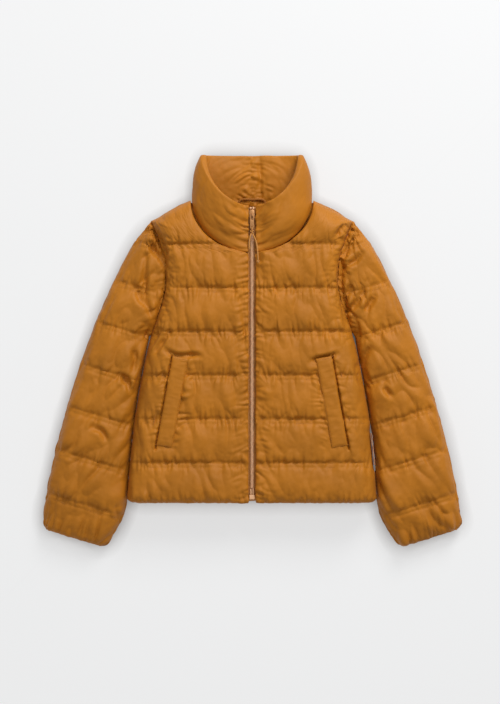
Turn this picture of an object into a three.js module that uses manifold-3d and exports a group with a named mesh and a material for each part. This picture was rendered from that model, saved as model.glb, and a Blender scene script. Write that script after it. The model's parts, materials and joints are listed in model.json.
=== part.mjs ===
// A short quilted jacket with a funnel collar, laid flat on its back with its front zip closed.
//
// Millimetres, +Z up out of the jacket's front, +Y towards the collar, +X towards the wearer's left sleeve.
// While it is built, x = 0 is the zip, y = 0 the hem and z = 0 the surface that the jacket lies on.
// The last lines move it so that its origin is the middle of its footprint.
//
// Each quilted panel is three solids that lie on each other: the shell outside, the fill between and the
// lining inside. The fronts, the back and both halves of each sleeve are height fields over their pattern
// outline, and the collar is the same sandwich bent round the neck.

import * as THREE from "three";
import { mergeVertices } from "three/addons/utils/BufferGeometryUtils.js";
import Module from "manifold-3d";

const wasm = await Module();
wasm.setup();

// ---------------------------------------------------------------- driving dimensions, in millimetres

const BODY_LENGTH = 600; // hem to the side of the neck
const HEM_HALF = 248; // zip to the side seam at the hem
const CHEST_HALF = 200; // zip to the side seam at the underarm
const SIDE_BOW = 8; // how far the side seam bows outwards
const SHOULDER_HALF = 207; // zip to the top of the sleeve
const SHOULDER_DROP = 34; // side of the neck down to the top of the sleeve
const ARMHOLE_DEPTH = 228; // top of the sleeve down to the underarm
const ARMHOLE_SCOOP = 32; // how far the armhole curves in
const NECK_DROP_FRONT = 104;
const NECK_DROP_BACK = 16;

const BAFFLE = 87; // height of one quilted channel
const HEM_BAFFLE = 76; // hem to the lowest quilting line
const HEM_BAND = 14;

const BODY_LOFT = 28; // thickness of a body panel in the middle of a channel
const BODY_CAVITY = 32; // room between the linings of the fronts and the back
const SLEEVE_LOFT = 24;
const SLEEVE_CAVITY = 16;
const COLLAR_LOFT = 24;
const STITCH_LOFT = 8; // thickness of any panel where it is quilted or sewn
const SHELL = 1; // outer fabric
const LINING = 0.8; // inner fabric
const GAP = 0.3; // between pieces that touch
const BODY_EDGE = 50; // width over which a body panel turns down to its side seam
const SLEEVE_EDGE = 42;
const LOFT_EDGE = 30; // width over which a panel gains its full loft from a sewn edge
const OVERHANG = 6; // how far a panel's grid runs past its outline at the side before it is trimmed
const TOP_OVERRUN = 4; // and past the side of the neck
const ARMHOLE_SEAM_RISE = 4; // side and shoulder seams over the sleeve's seam, where they meet the armhole
const ARMHOLE_FULLNESS = 0.6; // how quickly the fronts and the back part from each other along the armhole

const SLEEVE_LENGTH = 654; // top of the sleeve to the end of the cuff
const SLEEVE_ANGLE = THREE.MathUtils.degToRad(17); // outwards from the body's length
const SLEEVE_FIRST_LINE = 52; // top of the sleeve to its first quilting line
const SLEEVE_BAFFLE = 88;
const SLEEVE_GAP = 5; // between the body's side and the sleeve that lies beside it
const SLEEVE_SEAM_DROP = 2; // sleeve's seams below the middle of its thickness
const SLEEVE_START = 6; // top of the sleeve to the start of its panels
const ARMHOLE_GAP = 0.6;
const CUFF_BAND = 12;
const CUFF_HEIGHT = 32; // of the flattened cuff, from under side to upper side
const CUFF_BASE = 6; // surface to the under side of the cuff
const CUFF_TAPER = 110; // length over which the sleeve thins down to its cuff
const CUFF_LOFT = 18; // thickness of the sleeve's last channel in its middle
const CUFF_WALL = 8;
const ELASTIC_THICK = 3;
const ELASTIC_WIDE = 8;

const COLLAR_TOP_HALF = 109; // half the width of the collar's top
const COLLAR_BASE_HALF = 130;
const COLLAR_HEIGHT = 92; // neck seam to the top edge at the zip
const TUBE_SQUARENESS = 0.5; // of the collar and cuffs: 1 is an ellipse, less is a flatter tube
const COLLAR_DIP = 1.2; // how quickly the top edge rises from the zip to the sides

const FRONT_EDGE = 8.7; // zip centre to the edge of a front
const FACING = 12; // flat strip along the zip, where the tape is sewn on
const TAPE_WIDE = 18.8;
const TAPE_THICK = 0.8;
const TAPE_INSET = 1.2; // zip centre to the tape's edge
const TEETH_WIDE = 2.6;
const TEETH_HIGH = 3;
const TEETH_INSET = 0.8; // zip centre to the teeth, which leaves the slider's post its way
const ZIP_TOP_MARGIN = 3; // top edge of the collar to the end of the tape
const STOP_LONG = 4;
const STOP_WIDE = 3.4;
const STOP_PROUD = 0.8; // above the teeth
const TAPE_CLEARANCE = 0.6; // under the fronts' edges
const PIN_LONG = 12;
const BOX_LONG = 9;
const BOX_WALL = 0.5;
const BOX_START = 3; // hem to the retainer box
const SLIDER_LONG = 22;
const SLIDER_HALF = 5.2;
const SLIDER_PLATE = 1.8;
const SLIDER_CLEARANCE = 0.5; // between the slider's plates and the teeth or tape
const SLIDER_MARGIN = 1; // between the slider and the top of the teeth
const FLANGE = 1; // wall of the slider's sides, and how deep its parts run into each other
const POST_HALF = 0.4;
const BRIDGE_HALF = 1.4;
const BRIDGE_LONG = 9;
const BRIDGE_HIGH = 4.6;
const BRIDGE_WALL = 1.3;
const PULL_THICK = 1.6;
const PULL_HALF = 4;
const PULL_LONG = 26;
const PULL_EYE = 7.4; // pivot to the far end of the eye that goes round the bridge
const PULL_BAR_HALF = 0.8;
const PULL_PLAY = 0.8; // between the bridge and the sides of the pull's eye
const PULL_LIFT = 2; // top of the slider to the pull's pivot
const PULL_HOLE_RADIUS = 1.9;
const CORD_RADIUS = 1.5;
const KNOT_RADIUS = 3.6;
const TIP_KNOT_RADIUS = 2.6;

const WELT_LONG = 180;
const WELT_WIDE = 32;
const WELT_THICK = 6;
const WELT_X = 158; // middle of the welt
const WELT_Y = 197;
const WELT_ANGLE = THREE.MathUtils.degToRad(10.2);
const WELT_SINK = 1; // top of the welt below the top of the front's padding
const MOUTH_WIDE = 14; // pocket opening beside the welt
const BAG_REACH = 110; // middle of the welt to the bag's inner edge
const BAG_BELOW = 120; // middle of the welt down to the bag's bottom
const BAG_DEPTH = 13;
const BAG_CLEARANCE = 3; // between the front's padding and the bag
const BAG_WALL = 1.2;

const LOOP_HALF = 32;
const LOOP_TALL = 18;
const LOOP_BAND = 4.5;
const LOOP_THICK = 1.5;
const LOOP_START = 4; // neck seam to the loop's ends
const LOOP_CLEARANCE = 0.4; // collar's lining to the loop's ends
const LOOP_SLANT = 8; // how much shorter the loop's top is than its foot, at each end
const LABEL_LONG = 64;
const LABEL_LOW = 70; // hem to the label's lower end
const LABEL_HIGH = 13;
const LABEL_LEAF = 0.8;
const LABEL_FOLD = 2.8; // over both leaves
const LABEL_CLEARANCE = 0.8; // side seam to the label
const LABEL_RISE = 2; // seam's height to the label's foot

// ---------------------------------------------------------------- places worked out from them

const neckHalf = COLLAR_BASE_HALF - COLLAR_LOFT / 2 + STITCH_LOFT / 2; // zip to the side of the neck
const shoulderY = BODY_LENGTH - SHOULDER_DROP;
const underarmY = shoulderY - ARMHOLE_DEPTH;
const bodyBackZ = BODY_LOFT / 2;
const bodyFrontZ = BODY_LOFT * 1.5 + BODY_CAVITY;
const bodySeamZ = (bodyBackZ + bodyFrontZ) / 2;
const sleeveUnderZ = SLEEVE_LOFT / 2;
const sleeveUpperZ = SLEEVE_LOFT * 1.5 + SLEEVE_CAVITY;
const sleeveSeamZ = (sleeveUnderZ + sleeveUpperZ) / 2 - SLEEVE_SEAM_DROP;
const armholeEndZ = sleeveSeamZ + ARMHOLE_SEAM_RISE;
const cuffZ = CUFF_BASE + CUFF_HEIGHT / 2;
const sleevePanelEnd = SLEEVE_LENGTH - CUFF_BAND - GAP;
const neckFrontY = BODY_LENGTH - NECK_DROP_FRONT;
const collarTopFrontY = neckFrontY + COLLAR_HEIGHT;
const collarTopY = BODY_LENGTH + COLLAR_HEIGHT;
const collarBackZ = COLLAR_LOFT / 2;
const collarMidZ = (collarBackZ + bodyFrontZ) / 2;
const collarRiseZ = bodyFrontZ - collarMidZ;

const edgeUnderZ = bodyFrontZ - STITCH_LOFT / 2; // underneath the fronts' edges, where the tape is sewn
const tapeTopZ = edgeUnderZ - TAPE_CLEARANCE;
const tapeUnderZ = tapeTopZ - TAPE_THICK;
const teethUnderZ = tapeTopZ + GAP;
const teethTopZ = teethUnderZ + TEETH_HIGH;
const zipTopY = collarTopFrontY - ZIP_TOP_MARGIN;
const zipBottomY = BOX_START + BOX_LONG + GAP;
const teethTopY = zipTopY - STOP_LONG - GAP;
const sliderY = teethTopY - SLIDER_LONG / 2 - SLIDER_MARGIN;
const sliderTopZ = teethTopZ + SLIDER_CLEARANCE + SLIDER_PLATE;
const pullPivotZ = sliderTopZ + PULL_LIFT;

const { lerp, smoothstep, clamp } = THREE.MathUtils;

// ---------------------------------------------------------------- materials

const fabric = (color, roughness) => new THREE.MeshStandardMaterial({ color, roughness, metalness: 0 });
const SHELL_CLOTH = fabric(0xb4732a, 0.55);
const LINING_CLOTH = fabric(0xa56722, 0.6);
const FILL_WADDING = fabric(0xf0ece2, 0.95);
const RIB_CLOTH = fabric(0x9c5f1c, 0.7);
const TAPE_CLOTH = fabric(0xa9702f, 0.8);
const TEETH_PLASTIC = fabric(0xb78a5c, 0.35);
const CORD_CLOTH = fabric(0xb8813f, 0.75);
const LABEL_SATIN = fabric(0xb98a6a, 0.5);
const METAL_FINISH = { color: 0xb5803f, roughness: 0.35, metalness: 0.6 };
const PAINTED_METAL = new THREE.MeshStandardMaterial(METAL_FINISH);

// ---------------------------------------------------------------- solids from geometry, and booleans

function solidOf(geometry) {
  const bare = geometry.index ? geometry.toNonIndexed() : geometry.clone();
  bare.deleteAttribute("normal");
  bare.deleteAttribute("uv");
  const merged = mergeVertices(bare, 1e-3);
  return new wasm.Manifold(
    new wasm.Mesh({
      numProp: 3,
      vertProperties: merged.attributes.position.array,
      triVerts: new Uint32Array(merged.index.array),
    }),
  );
}

function geometryOf(solid) {
  const mesh = solid.getMesh();
  const geometry = new THREE.BufferGeometry();
  const corners = new THREE.BufferAttribute(new Float32Array(mesh.vertProperties), 3);
  geometry.setAttribute("position", corners);
  geometry.setIndex(new THREE.BufferAttribute(mesh.triVerts, 1));
  geometry.computeVertexNormals();
  return geometry;
}

const keepInside = (geometry, cutter) => geometryOf(solidOf(geometry).intersect(solidOf(cutter)));
const cutAway = (geometry, cutter) => geometryOf(solidOf(geometry).subtract(solidOf(cutter)));
const joined = (first, ...others) => {
  const whole = others.reduce((solid, other) => solid.add(solidOf(other)), solidOf(first));
  return geometryOf(whole);
};

// A box between two corners.
function block(x0, x1, y0, y1, z0, z1) {
  const box = new THREE.BoxGeometry(x1 - x0, y1 - y0, z1 - z0);
  return box.translate((x0 + x1) / 2, (y0 + y1) / 2, (z0 + z1) / 2);
}

// A flat outline made into an upright prism from z0 to z1.
function prism(points, z0, z1) {
  const flat = new THREE.ExtrudeGeometry(new THREE.Shape(points), { depth: z1 - z0, bevelEnabled: false });
  return flat.translate(0, 0, z0);
}

// A sheet over a grid: place(column, row, upper) gives a corner of its upper or lower face.
function sheet(columns, rows, place) {
  const nx = columns.length - 1;
  const ny = rows.length - 1;
  const box = new THREE.BoxGeometry(1, 1, 1, nx, ny, 1);
  const corners = box.getAttribute("position");
  for (let i = 0; i < corners.count; i++) {
    const column = columns[Math.round((corners.getX(i) + 0.5) * nx)];
    const row = rows[Math.round((corners.getY(i) + 0.5) * ny)];
    corners.setXYZ(i, ...place(column, row, corners.getZ(i) > 0));
  }
  // The lower face's squares are split along the same diagonals as the upper one's, to lie flush.
  const under = box.groups[5];
  for (let i = under.start; i < under.start + under.count; i += 6) {
    const [a, b, d, , c] = [0, 1, 2, 3, 4].map((k) => box.index.getX(i + k));
    [a, b, c, a, c, d].forEach((corner, k) => box.index.setX(i + k, corner));
  }
  return box;
}

// ---------------------------------------------------------------- the quilting

// Rows along a panel: every quilting line, and the middle of every channel between them.
function quiltRows(start, end, firstLine, pitch) {
  const lines = [];
  for (let line = firstLine; line < end - pitch / 8; line += pitch) lines.push(line);
  const edges = [start, ...lines.filter((line) => line > start + 1), end];
  const rows = [];
  edges.slice(1).forEach((edge, i) => {
    rows.push({ at: edges[i], swell: 0 }, { at: (edges[i] + edge) / 2, swell: 1 });
  });
  rows.push({ at: end, swell: 0 });
  return rows;
}

// How far a panel's middle has turned from its flat height towards its seam, 0 to 1.
const turnDown = (fromEdge, width) => 1 - Math.sqrt(1 - (1 - clamp(fromEdge / width, 0, 1)) ** 2);
// How much of its loft a panel has at a distance from a sewn edge.
const loftShare = (fromEdge) => Math.sqrt(clamp(fromEdge / LOFT_EDGE, 0, 1));

// The outer and inner face of each layer at a loft, from the panel's middle towards its outside.
const LAYER_FACES = {
  shell: (loft) => [loft / 2, loft / 2 - SHELL],
  fill: (loft) => [loft / 2 - SHELL - GAP, LINING + GAP - loft / 2],
  lining: (loft) => [LINING - loft / 2, -loft / 2],
};

// The three solids of a quilted panel. surface(column, row) gives { x, y, middle, loft }, and outside is +1
// where the shell is the upper layer and -1 where it is the lower one.
function quiltedPanel(columns, rows, outside, surface, trim) {
  const layer = (faces) =>
    trim(sheet(columns, rows, (column, row, upper) => {
      const { x, y, middle, loft } = surface(column, row);
      const [outer, inner] = faces(loft);
      return [x, y, middle + outside * (upper === outside > 0 ? outer : inner)];
    }));
  const { shell, fill, lining } = LAYER_FACES;
  return { shell: layer(shell), fill: layer(fill), lining: layer(lining) };
}

// ---------------------------------------------------------------- the body's outline

const armhole = (share) => [
  lerp(SHOULDER_HALF, CHEST_HALF, share) - ARMHOLE_SCOOP * Math.sin(Math.PI * share),
  lerp(shoulderY, underarmY, share),
];
const sideSeam = (share) => [
  lerp(CHEST_HALF, HEM_HALF, share) + SIDE_BOW * Math.sin(Math.PI * share),
  lerp(underarmY, 0, share),
];
const steps = (count) => Array.from({ length: count + 1 }, (_, i) => i / count);

// The body's side from the hem to the underarm and up the armhole to the top of the sleeve.
const bodySide = [
  ...steps(4).map((share) => sideSeam(1 - share)),
  ...steps(7).slice(1).map((share) => armhole(1 - share)),
];
const sideX = (y) => {
  const above = clamp(bodySide.findIndex((point) => point[1] >= y), 1, bodySide.length - 1);
  const [low, high] = [bodySide[above - 1], bodySide[above]];
  return lerp(low[0], high[0], clamp((y - low[1]) / (high[1] - low[1]), 0, 1));
};
const vectors = (points) => points.map(([x, y]) => new THREE.Vector2(x, y));

// The neck is half an ellipse round the zip, and the shoulder runs from its end to the top of the sleeve.
function neckCurve(drop) {
  return steps(7).map((share) => {
    const angle = (share * Math.PI) / 2;
    const [across, down] = [neckHalf + ARMHOLE_GAP, drop + ARMHOLE_GAP];
    return [across * Math.cos(angle), BODY_LENGTH - down * Math.sin(angle)];
  });
}

const bodyBottom = HEM_BAND + GAP;
const bodyRows = quiltRows(bodyBottom, BODY_LENGTH + TOP_OVERRUN, HEM_BAFFLE, BAFFLE);

// How far a point of the body is from the seam at its side or shoulder.
function fromBodyEdge(x, y) {
  const shoulder = new THREE.Vector2(SHOULDER_HALF - neckHalf, -SHOULDER_DROP).normalize();
  const above = (BODY_LENGTH - y) * shoulder.x - (x - neckHalf) * -shoulder.y;
  return Math.max(0, Math.min(sideX(y) - x, above));
}

// The height of a body panel's middle at its seam. Its seams lie between the fronts and the back, and along
// the armhole the panels stay apart and meet the two halves of the sleeve.
function seamHeight(x, y, isFront) {
  const alongShoulder = clamp((x - neckHalf) / (SHOULDER_HALF - neckHalf), 0, 1);
  const alongSide = clamp(y / underarmY, 0, 1);
  const closedZ = lerp(bodySeamZ, armholeEndZ, y > shoulderY ? alongShoulder : alongSide);
  const layerZ = closedZ + (isFront ? 1 : -1) * (GAP + STITCH_LOFT) / 2;
  const open = Math.sin(Math.PI * clamp((shoulderY - y) / ARMHOLE_DEPTH, 0, 1)) ** ARMHOLE_FULLNESS;
  return lerp(layerZ, isFront ? sleeveUpperZ : sleeveUnderZ, open);
}

// Columns 0 to 1 are the facing along the zip, and 1 to 2 the rest of the front.
function frontSurface(column, row) {
  const y = row.at;
  const facingEdge = FRONT_EDGE + FACING;
  const x = column < 1
    ? lerp(FRONT_EDGE, facingEdge, column)
    : lerp(facingEdge, sideX(y) + OVERHANG, column - 1);
  const toSide = fromBodyEdge(x, y);
  const loft = Math.min(loftShare(toSide), loftShare(x - facingEdge));
  return {
    x,
    y,
    middle: lerp(bodyFrontZ, seamHeight(x, y, true), turnDown(toSide, BODY_EDGE)),
    loft: STITCH_LOFT + (BODY_LOFT - STITCH_LOFT) * loft * row.swell,
  };
}

function backSurface(column, row) {
  const y = row.at;
  const x = column * (sideX(y) + OVERHANG);
  const toSide = fromBodyEdge(Math.abs(x), y);
  return {
    x,
    y,
    middle: lerp(bodyBackZ, seamHeight(Math.abs(x), y, false), turnDown(toSide, BODY_EDGE)),
    loft: STITCH_LOFT + (BODY_LOFT - STITCH_LOFT) * loftShare(toSide) * row.swell,
  };
}

const frontOutline = prism(vectors([
  [FRONT_EDGE, bodyBottom],
  [sideX(bodyBottom), bodyBottom],
  ...bodySide.slice(1),
  ...neckCurve(NECK_DROP_FRONT).filter((point) => point[0] > FRONT_EDGE),
  [FRONT_EDGE, neckFrontY - ARMHOLE_GAP],
]), -1, 2 * bodyFrontZ);

const mirrored = (points) => points.map(([x, y]) => [-x, y]).reverse();
const backHalf = [[sideX(bodyBottom), bodyBottom], ...bodySide.slice(1), ...neckCurve(NECK_DROP_BACK)];
const backOutline = prism(vectors([...backHalf, ...mirrored(backHalf.slice(0, -1))]), -1, 2 * bodyFrontZ);

// ---------------------------------------------------------------- pocket

// The slot through a front that holds the welt and leaves the pocket's mouth beside it.
const inPocketFrame = (geometry) => geometry.rotateZ(WELT_ANGLE).translate(WELT_X, WELT_Y, 0);
const slotHalf = WELT_LONG / 2 + GAP;
const slotInner = -WELT_WIDE / 2 - GAP;
const slotOuter = WELT_WIDE / 2 + MOUTH_WIDE;
const pocketSlot = inPocketFrame(block(slotInner, slotOuter, -slotHalf, slotHalf, 0, 2 * bodyFrontZ));
const weltTopZ = bodyFrontZ + BODY_LOFT / 2 - WELT_SINK;

function pocketWelt() {
  const [w, l] = [WELT_WIDE / 2, WELT_LONG / 2];
  return inPocketFrame(block(-w, w, -l, l, weltTopZ - WELT_THICK, weltTopZ));
}

// A flat pouch under the front, with a chute up to the mouth.
function pocketBag() {
  const topZ = bodyFrontZ - BODY_LOFT / 2 - BAG_CLEARANCE;
  const chuteTopZ = weltTopZ - WELT_THICK - GAP;
  const [inner, outer, half, w] = [slotInner + GAP, slotOuter - GAP, slotHalf - GAP, BAG_WALL];
  const pouch = block(-BAG_REACH, outer, -BAG_BELOW, half, topZ - BAG_DEPTH, topZ);
  const chute = block(inner, outer, -half, half, topZ - w, chuteTopZ);
  const pouchRoom = block(w - BAG_REACH, outer - w, w - BAG_BELOW, half - w, topZ - BAG_DEPTH + w, topZ - w);
  const chuteRoom = block(inner + w, outer - w, w - half, half - w, topZ - BAG_DEPTH + w, chuteTopZ + 1);
  return inPocketFrame(cutAway(cutAway(joined(pouch, chute), pouchRoom), chuteRoom));
}

// ---------------------------------------------------------------- body panels and hem

const FRONT_COLUMNS = [0, 1, 1.14, 1.5, 1.78, 1.91, 2];
const BACK_COLUMNS = [-1, -0.92, -0.79, -0.3, 0.3, 0.79, 0.92, 1];

function frontPanel() {
  return quiltedPanel(FRONT_COLUMNS, bodyRows, 1, frontSurface, (geometry) =>
    cutAway(keepInside(geometry, frontOutline), pocketSlot));
}

const backPanel = () =>
  quiltedPanel(BACK_COLUMNS, bodyRows, -1, backSurface, (geometry) => keepInside(geometry, backOutline));

// A plain folded band that follows a panel's bottom edge.
function hemBand(columns, surface, sideLimit) {
  const rows = [{ at: 0, swell: 0 }, { at: HEM_BAND, swell: 0 }];
  return sheet(columns, rows, (column, row, upper) => {
    const { x, y, middle, loft } = surface(column, row);
    return [clamp(x, -sideLimit, sideLimit), y, middle + (upper ? loft : -loft) / 2];
  });
}

// ---------------------------------------------------------------- sleeve, in its own frame

// The frame's origin is the top of the sleeve, and the sleeve runs along -Y. An edge is x against length.
const outerEdge = new THREE.SplineCurve(
  vectors([[0, 0], [22, 92], [40, 224], [46, 351], [44, 476], [29, 597], [14, SLEEVE_LENGTH]]));
const innerEdge = new THREE.SplineCurve(
  vectors([[-60, 0], [-112, 120], [-98, 224], [-88, 300], [-98, 400], [-113, 491], [-126, 570], [-122, 613],
    [-109, SLEEVE_LENGTH]]));

// x of an edge at a length down the sleeve.
function edgeX(edge, length) {
  const points = edge.getPoints(60);
  const below = clamp(points.findIndex((point) => point.y >= length), 1, points.length - 1);
  const [a, b] = [points[below - 1], points[below]];
  return lerp(a.x, b.x, clamp((length - a.y) / (b.y - a.y), 0, 1));
}

const sleeveRows = quiltRows(SLEEVE_START, sleevePanelEnd, SLEEVE_FIRST_LINE, SLEEVE_BAFFLE);
const SLEEVE_COLUMNS = [0, 0.11, 0.3, 0.7, 0.89, 1];

// Distance to the armhole from a point in the sleeve's frame.
function fromArmhole(x, length) {
  const turn = new THREE.Vector2(x, -length).rotateAround(new THREE.Vector2(), SLEEVE_ANGLE);
  const inBody = turn.add(new THREE.Vector2(SHOULDER_HALF, shoulderY));
  return Math.min(...steps(28).map((share) => inBody.distanceTo(new THREE.Vector2(...armhole(share)))));
}

function sleeveSurface(isUpper) {
  return (column, row) => {
    const [inner, outer] = [edgeX(innerEdge, row.at), edgeX(outerEdge, row.at)];
    const x = lerp(inner, outer, column);
    const fromEdge = Math.min(x - inner, outer - x);
    const puff = Math.min(loftShare(fromEdge), loftShare(fromArmhole(x, row.at))) * row.swell;
    const taper = smoothstep(row.at, sleevePanelEnd - CUFF_TAPER, sleevePanelEnd);
    const seamZ = lerp(sleeveSeamZ, cuffZ, taper);
    const side = isUpper ? 1 : -1;
    const cuffMiddle = cuffZ + side * (CUFF_HEIGHT / 2 - STITCH_LOFT / 2);
    const flatZ = lerp(isUpper ? sleeveUpperZ : sleeveUnderZ, cuffMiddle, taper);
    const seamMiddle = seamZ + side * (STITCH_LOFT / 2 + GAP / 2);
    return {
      x,
      y: -row.at,
      middle: lerp(flatZ, seamMiddle, turnDown(fromEdge, SLEEVE_EDGE)),
      loft: STITCH_LOFT + (lerp(SLEEVE_LOFT, CUFF_LOFT, taper) - STITCH_LOFT) * puff,
    };
  };
}

// The body's side with its clearance, as a cutter in the sleeve's frame.
function bodyCutter() {
  const cleared = bodySide.map(([x, y]) => [x + (y < underarmY - 1 ? SLEEVE_GAP : ARMHOLE_GAP), y]);
  const outline = [[-HEM_HALF, -2 * HEM_BAND], [cleared[0][0], -2 * HEM_BAND], ...cleared,
    [SHOULDER_HALF + ARMHOLE_GAP, shoulderY + HEM_BAND], [-HEM_HALF, shoulderY + HEM_BAND]];
  const cutter = prism(vectors(outline), -1, 2 * bodyFrontZ);
  return cutter.translate(-SHOULDER_HALF, -shoulderY, 0).rotateZ(-SLEEVE_ANGLE);
}
const besideBody = bodyCutter();

// Rows run down the sleeve, so its columns are turned round to keep the faces outwards.
const sleevePanel = (isUpper) =>
  quiltedPanel([...SLEEVE_COLUMNS].reverse(), sleeveRows, isUpper ? 1 : -1, sleeveSurface(isUpper),
    (geometry) => cutAway(geometry, besideBody));

// A flattened ring round the cuff. The profile holds [depth in from the outer face, length down the sleeve].
function cuffRing(profile) {
  const reference = 100;
  const points = profile.map(([depth, length]) => new THREE.Vector2(reference - depth, -length));
  const ring = new THREE.LatheGeometry([...points, points[0]].reverse(), 16);
  const [left, right] = [edgeX(innerEdge, SLEEVE_LENGTH), edgeX(outerEdge, SLEEVE_LENGTH)];
  const corners = ring.getAttribute("position");
  for (let i = 0; i < corners.count; i++) {
    const depth = reference - Math.hypot(corners.getX(i), corners.getZ(i));
    const angle = Math.atan2(corners.getX(i), corners.getZ(i));
    const across = (right - left) / 2 - depth;
    const high = CUFF_HEIGHT / 2 - depth;
    const x = (left + right) / 2 + across * Math.sin(angle);
    const z = cuffZ + high * Math.sign(Math.cos(angle)) * Math.abs(Math.cos(angle)) ** TUBE_SQUARENESS;
    corners.setXYZ(i, x, corners.getY(i), Math.abs(Math.cos(angle)) < 1e-6 ? cuffZ : z);
  }
  return ring;
}

// The binding is a folded strip that is open towards the sleeve, and the elastic lies in its fold.
function cuffBinding() {
  const [top, bottom] = [SLEEVE_LENGTH - CUFF_BAND, SLEEVE_LENGTH];
  const wall = (CUFF_WALL - ELASTIC_THICK) / 2 - GAP;
  return cuffRing([[0, top], [0, bottom], [CUFF_WALL, bottom], [CUFF_WALL, top], [CUFF_WALL - wall, top],
    [CUFF_WALL - wall, top + ELASTIC_WIDE + GAP], [wall, top + ELASTIC_WIDE + GAP], [wall, top]]);
}

function cuffElastic() {
  const [near, far] = [(CUFF_WALL - ELASTIC_THICK) / 2, (CUFF_WALL + ELASTIC_THICK) / 2];
  const top = SLEEVE_LENGTH - CUFF_BAND;
  return cuffRing([[near, top], [near, top + ELASTIC_WIDE], [far, top + ELASTIC_WIDE], [far, top]]);
}

// ---------------------------------------------------------------- collar

// Columns round the neck. 0 to 1 is the facing beside the wearer's left edge of the zip, 2 is the middle of
// the back, and 3 to 4 is the other facing.
const COLLAR_HALF_COLUMNS = [0, 1, 1.08, 1.22, 1.33, 1.41, 1.47, 1.53, 1.61, 1.74, 1.89, 2];
const otherColumns = COLLAR_HALF_COLUMNS.slice(0, -1).reverse().map((column) => 4 - column);
const collarColumns = [...COLLAR_HALF_COLUMNS, ...otherColumns];
const COLLAR_ROWS = [0, 0.25, 0.6, 1];

function collarAngle(column, half) {
  const fromZip = Math.min(column, 4 - column);
  const facingEdge = FRONT_EDGE + FACING;
  const angle = fromZip < 1
    ? Math.asin(lerp(FRONT_EDGE, facingEdge, fromZip) / half)
    : lerp(Math.asin(facingEdge / half), Math.PI, fromZip - 1);
  return column > 2 ? 2 * Math.PI - angle : angle;
}

// The line of the collar's middle at an angle and a share of its height.
const collarHalf = (share) => lerp(COLLAR_BASE_HALF, COLLAR_TOP_HALF, share) - COLLAR_LOFT / 2;
function collarLine(angle, share) {
  const facing = Math.cos(angle);
  const isFront = facing > 0;
  const baseY = BODY_LENGTH - (isFront ? NECK_DROP_FRONT : NECK_DROP_BACK) * Math.abs(facing);
  const topY = collarTopY - (isFront ? NECK_DROP_FRONT * facing ** COLLAR_DIP : 0);
  return new THREE.Vector3(
    collarHalf(share) * Math.sin(angle),
    lerp(baseY + GAP, topY, share),
    collarMidZ + collarRiseZ * Math.sign(facing) * Math.abs(facing) ** TUBE_SQUARENESS,
  );
}

// Thickness away from the zip, at a share of the height.
const collarLoft = (share, puff = 1) =>
  STITCH_LOFT + (COLLAR_LOFT - STITCH_LOFT) * Math.sin(Math.PI * share * 0.86) ** 0.8 * puff;

function collarLayer(faces) {
  return sheet(collarColumns, COLLAR_ROWS, (column, share, upper) => {
    const angle = collarAngle(column, collarHalf(share));
    const nudge = 0.02;
    const along = collarLine(angle + nudge, share).sub(collarLine(angle - nudge, share));
    const out = new THREE.Vector3(-along.z, 0, along.x).normalize();
    const fromZip = Math.cos(angle) > 0 ? collarHalf(share) * Math.abs(Math.sin(angle)) : COLLAR_BASE_HALF;
    const [outer, inner] = faces(collarLoft(share, loftShare(fromZip - FRONT_EDGE - FACING)));
    const point = collarLine(angle, share).addScaledVector(out, upper ? outer : inner);
    return [point.x, point.y, point.z];
  });
}

// ---------------------------------------------------------------- zip

const zipTape = () =>
  block(TAPE_INSET, TAPE_INSET + TAPE_WIDE, zipBottomY, zipTopY, tapeUnderZ, tapeTopZ);
const zipTeeth = () =>
  block(TEETH_INSET, TEETH_INSET + TEETH_WIDE, zipBottomY + PIN_LONG + GAP, teethTopY, teethUnderZ,
    teethTopZ);
const zipPin = () =>
  block(TEETH_INSET, TEETH_INSET + TEETH_WIDE, zipBottomY, zipBottomY + PIN_LONG, teethUnderZ, teethTopZ);
const zipStop = () =>
  block(TEETH_INSET, TEETH_INSET + STOP_WIDE, teethTopY + GAP, zipTopY, teethUnderZ,
    teethTopZ + STOP_PROUD);
const zipBox = () =>
  block(-SLIDER_HALF, SLIDER_HALF, BOX_START, BOX_START + BOX_LONG, tapeUnderZ - BOX_WALL,
    teethTopZ + BOX_WALL);

// Two plates joined by a post that runs between the rows of teeth, with a bridge on top for the pull.
function sliderBody() {
  const [low, high] = [sliderY - SLIDER_LONG / 2, sliderY + SLIDER_LONG / 2];
  const [half, c] = [SLIDER_HALF, SLIDER_CLEARANCE];
  const top = block(-half, half, low, high, teethTopZ + c, sliderTopZ);
  const under = block(-half, half, low, high, tapeUnderZ - c - SLIDER_PLATE, tapeUnderZ - c);
  const postUnderZ = tapeUnderZ - c - FLANGE;
  const post = block(-POST_HALF, POST_HALF, sliderY, high, postUnderZ, teethTopZ + c + FLANGE);
  const flange = (from) => block(from, from + FLANGE, low, high, tapeTopZ + c, teethTopZ + c + FLANGE);
  const [foot, head] = [sliderY - BRIDGE_LONG / 2, sliderY + BRIDGE_LONG / 2];
  const bridge = block(-BRIDGE_HALF, BRIDGE_HALF, foot, head, sliderTopZ - FLANGE, sliderTopZ + BRIDGE_HIGH);
  const arch = block(-BRIDGE_HALF - 1, BRIDGE_HALF + 1, foot + BRIDGE_WALL, head - BRIDGE_WALL, sliderTopZ,
    sliderTopZ + BRIDGE_HIGH - BRIDGE_WALL);
  return joined(top, under, post, flange(half - FLANGE), flange(-half), cutAway(bridge, arch));
}

const pullPivotY = sliderY - BRIDGE_LONG / 2 + BRIDGE_WALL + PULL_BAR_HALF + GAP;
const pullHoleY = PULL_HALF - PULL_LONG;

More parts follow.
